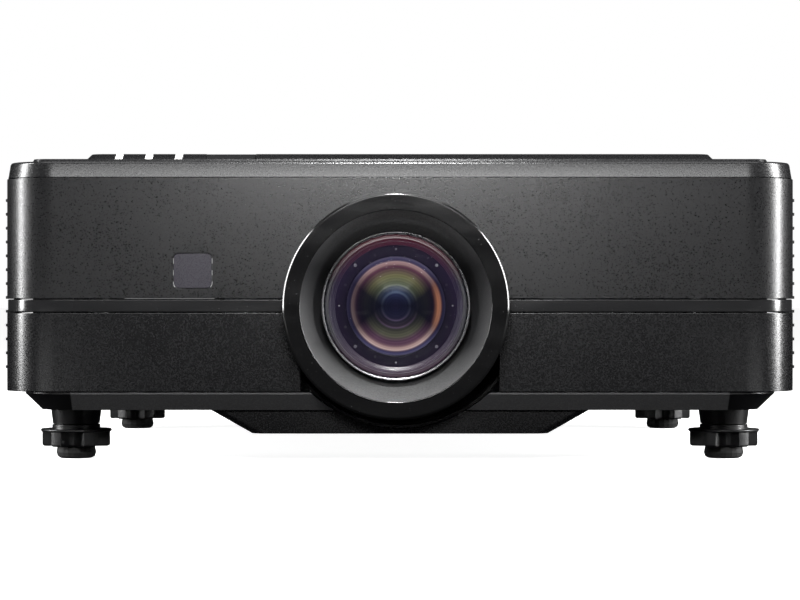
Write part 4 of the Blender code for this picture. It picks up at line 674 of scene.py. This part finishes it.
def studio():
    world = bpy.data.worlds.new("studio")
    bpy.context.scene.world = world
    world.use_nodes = True
    tree = world.node_tree
    sky = tree.nodes["Background"]
    sky.inputs["Strength"].default_value = 1.0
    sight = tree.nodes.new("ShaderNodeLightPath")
    shade = tree.nodes.new("ShaderNodeMix")
    shade.data_type = "RGBA"
    shade.inputs[6].default_value = (*AMBIENT, 1)
    shade.inputs[7].default_value = (1, 1, 1, 1)
    tree.links.new(sight.outputs["Is Camera Ray"], shade.inputs[0])
    tree.links.new(shade.outputs[2], sky.inputs["Color"])
    bm = bmesh.new()
    bmesh.ops.create_grid(bm, x_segments=1, y_segments=1, size=30)
    mesh = bpy.data.meshes.new("floor")
    bm.to_mesh(mesh)
    bm.free()
    floor = Finish("pale_floor", (0.9, 0.9, 0.9), 0.9)
    floor.set("Base Color", floor.blend(floor.noise(0.5), (0.88, 0.88, 0.88), (0.92, 0.92, 0.92)))
    floor.set("Emission Color", (1, 1, 1, 1))
    floor.set("Emission Strength", FLOOR_GLOW)
    mesh.materials.append(floor.material)
    made = bpy.data.objects.new("floor", mesh)
    bpy.context.scene.collection.objects.link(made)
    made.visible_diffuse = False
    made.visible_glossy = False
    for row in LIGHTS:
        softbox(*row)
    bpy.context.scene.view_settings.view_transform = "Standard"


# ---- assembly ------------------------------------------------------------------------------
SOCKET_HEIGHT = 11 * mm  # of the tray's foot sockets, above the knobs
SOCKETS_FROM = 170 * mm  # the sockets lie further than this from the middle


def main():
    camera()
    studio()
    case = moulded("textured_black_plastic", (0.0065, 0.0065, 0.007), 0.3, 0.0009, 0.000045, 0.5)
    lid_case = moulded("lid_black_plastic", (0.009, 0.009, 0.0095), 0.25, 0.0009, 0.00004, 0.4)
    # painted shade: the lower fascia and the belly get a darker copy of the case's black plastic
    low_case_painted_darker = moulded("lower_black_plastic", (0.004, 0.004, 0.0045), 0.26, 0.0009, 0.00004, 0.5)
    # painted light: the tray gets a paler copy of the black plastic, for the light its sloped faces
    # catch
    tray_black_painted_lighter = moulded("tray_black_plastic", (0.075, 0.075, 0.077), 0.42, 0.0009, 0.00005)
    gloss = polished("gloss_black_plastic", (0.012, 0.012, 0.0125), 0.16)
    ring_gloss = polished("ring_gloss_plastic", (0.004, 0.004, 0.0042), 0.13)
    flat = moulded("flat_black_plastic", (0.004, 0.004, 0.004), 0.8, 0.0008, 0.00005)
    window = moulded("infrared_window", (0.028, 0.026, 0.033), 0.28, 0.0005, 0.00002, 0.08)
    key_grey = moulded("key_grey_plastic", (0.15, 0.15, 0.155), 0.4, 0.0004, 0.00002, 0.08)
    key_orange = moulded("key_orange_plastic", (0.45, 0.1, 0.02), 0.4, 0.0004, 0.00002, 0.08)
    knob_black = moulded("knob_black_plastic", (0.0035, 0.0035, 0.004), 0.36, 0.0006, 0.00005)
    foot_rubber = rubber("foot_rubber", (0.003, 0.003, 0.003))
    anodised = turned_metal("black_anodised", (0.02, 0.02, 0.022), 0.32)
    zinc = metal("zinc_plated_sheet", (0.55, 0.56, 0.58), 0.35, 0.004)
    casting = metal("cast_aluminium", (0.4, 0.41, 0.42), 0.5, 0.0012, 0.00012)
    brass = metal("gear_brass", (0.6, 0.45, 0.18), 0.32)
    screw = metal("bright_screw", (0.6, 0.6, 0.61), 0.28)
    fins = metal("fin_aluminium", (0.5, 0.51, 0.52), 0.4, 0.001, 0.00003, (1, 0.1, 1))
    board = circuit("circuit_board")
    disc = metal("phosphor_disc", (0.85, 0.7, 0.1), 0.4)
    for node in ("front_upper_fascia", "left_side_grille", "right_side_grille", "rear_panel"):
        softened(node, case, 0.4 * mm)
    for node in ("top_lid", "top_cover_plate"):
        softened(node, lid_case, 0.5 * mm)
    for side in ("left", "right"):
        softened(f"lower_fascia_{side}", low_case_painted_darker, 0.4 * mm)
        softened(f"accent_band_{side}", gloss, 0.6 * mm)
        paint(f"fan_frame_{side}", flat)
        paint(f"fan_rotor_{side}", knob_black)
    tray = softened("base_tray", [tray_black_painted_lighter, knob_black], 0.5 * mm)
    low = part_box("foot_knob_front_left")[1][2] + SOCKET_HEIGHT
    for face in tray.data.polygons:
        face.material_index = int(face.center.z < low and abs(face.center.x) > SOCKETS_FROM)
    softened("belly_cover", low_case_painted_darker, 0.5 * mm)
    softened("front_ir_window", window, 0.3 * mm)
    softened("top_ir_window", gloss, 0.2 * mm)
    softened("status_lights", milky("light_guide"), 0.2 * mm)
    for key in KEYS:
        softened(f"key_{key}", key_orange if key == "power" else key_grey, 0.4 * mm, 3)
    lens_ring(ring_gloss, satin_cone())
    barrel_rim(metal("bright_rim", (0.36, 0.36, 0.37), 0.3))
    stepped_cell(baffle_finish())
    retainer_black = turned_metal("retainer_black", (0.007, 0.007, 0.008), 0.42)
    retainer(retainer_black, metal("lens_screw", (0.2, 0.2, 0.21), 0.35), flat)
    glasses(coated_front_glass(), coated_inner_glass())
    for finish, nodes in [
        (flat, ["lens_well", "ac_inlet"]),
        (knob_black, ["power_rocker"]),
        (screw, ["cover_screw"]),
        (anodised, ["lens_barrel", "zoom_cell"]),
        (brass, ["zoom_ring_gear", "zoom_pinion"]),
        (zinc, ["connector_plate", "hdmi_port", "network_jack", "serial_port"]),
        (zinc, ["power_supply", "zoom_motor"]),
        (casting, ["light_engine", "lens_mount_frame", "shift_plate_h", "shift_plate_v"]),
        (fins, ["heat_sink"]),
        (board, ["main_board"]),
        (disc, ["phosphor_wheel"]),
        (coated_front_glass(), ["zoom_glass"]),
    ]:
        for node in nodes:
            paint(node, finish)
    for foot in FEET:
        paint(f"foot_pad_{foot}", foot_rubber)
        softened(f"foot_knob_{foot}", knob_black, 0.4 * mm)


main()
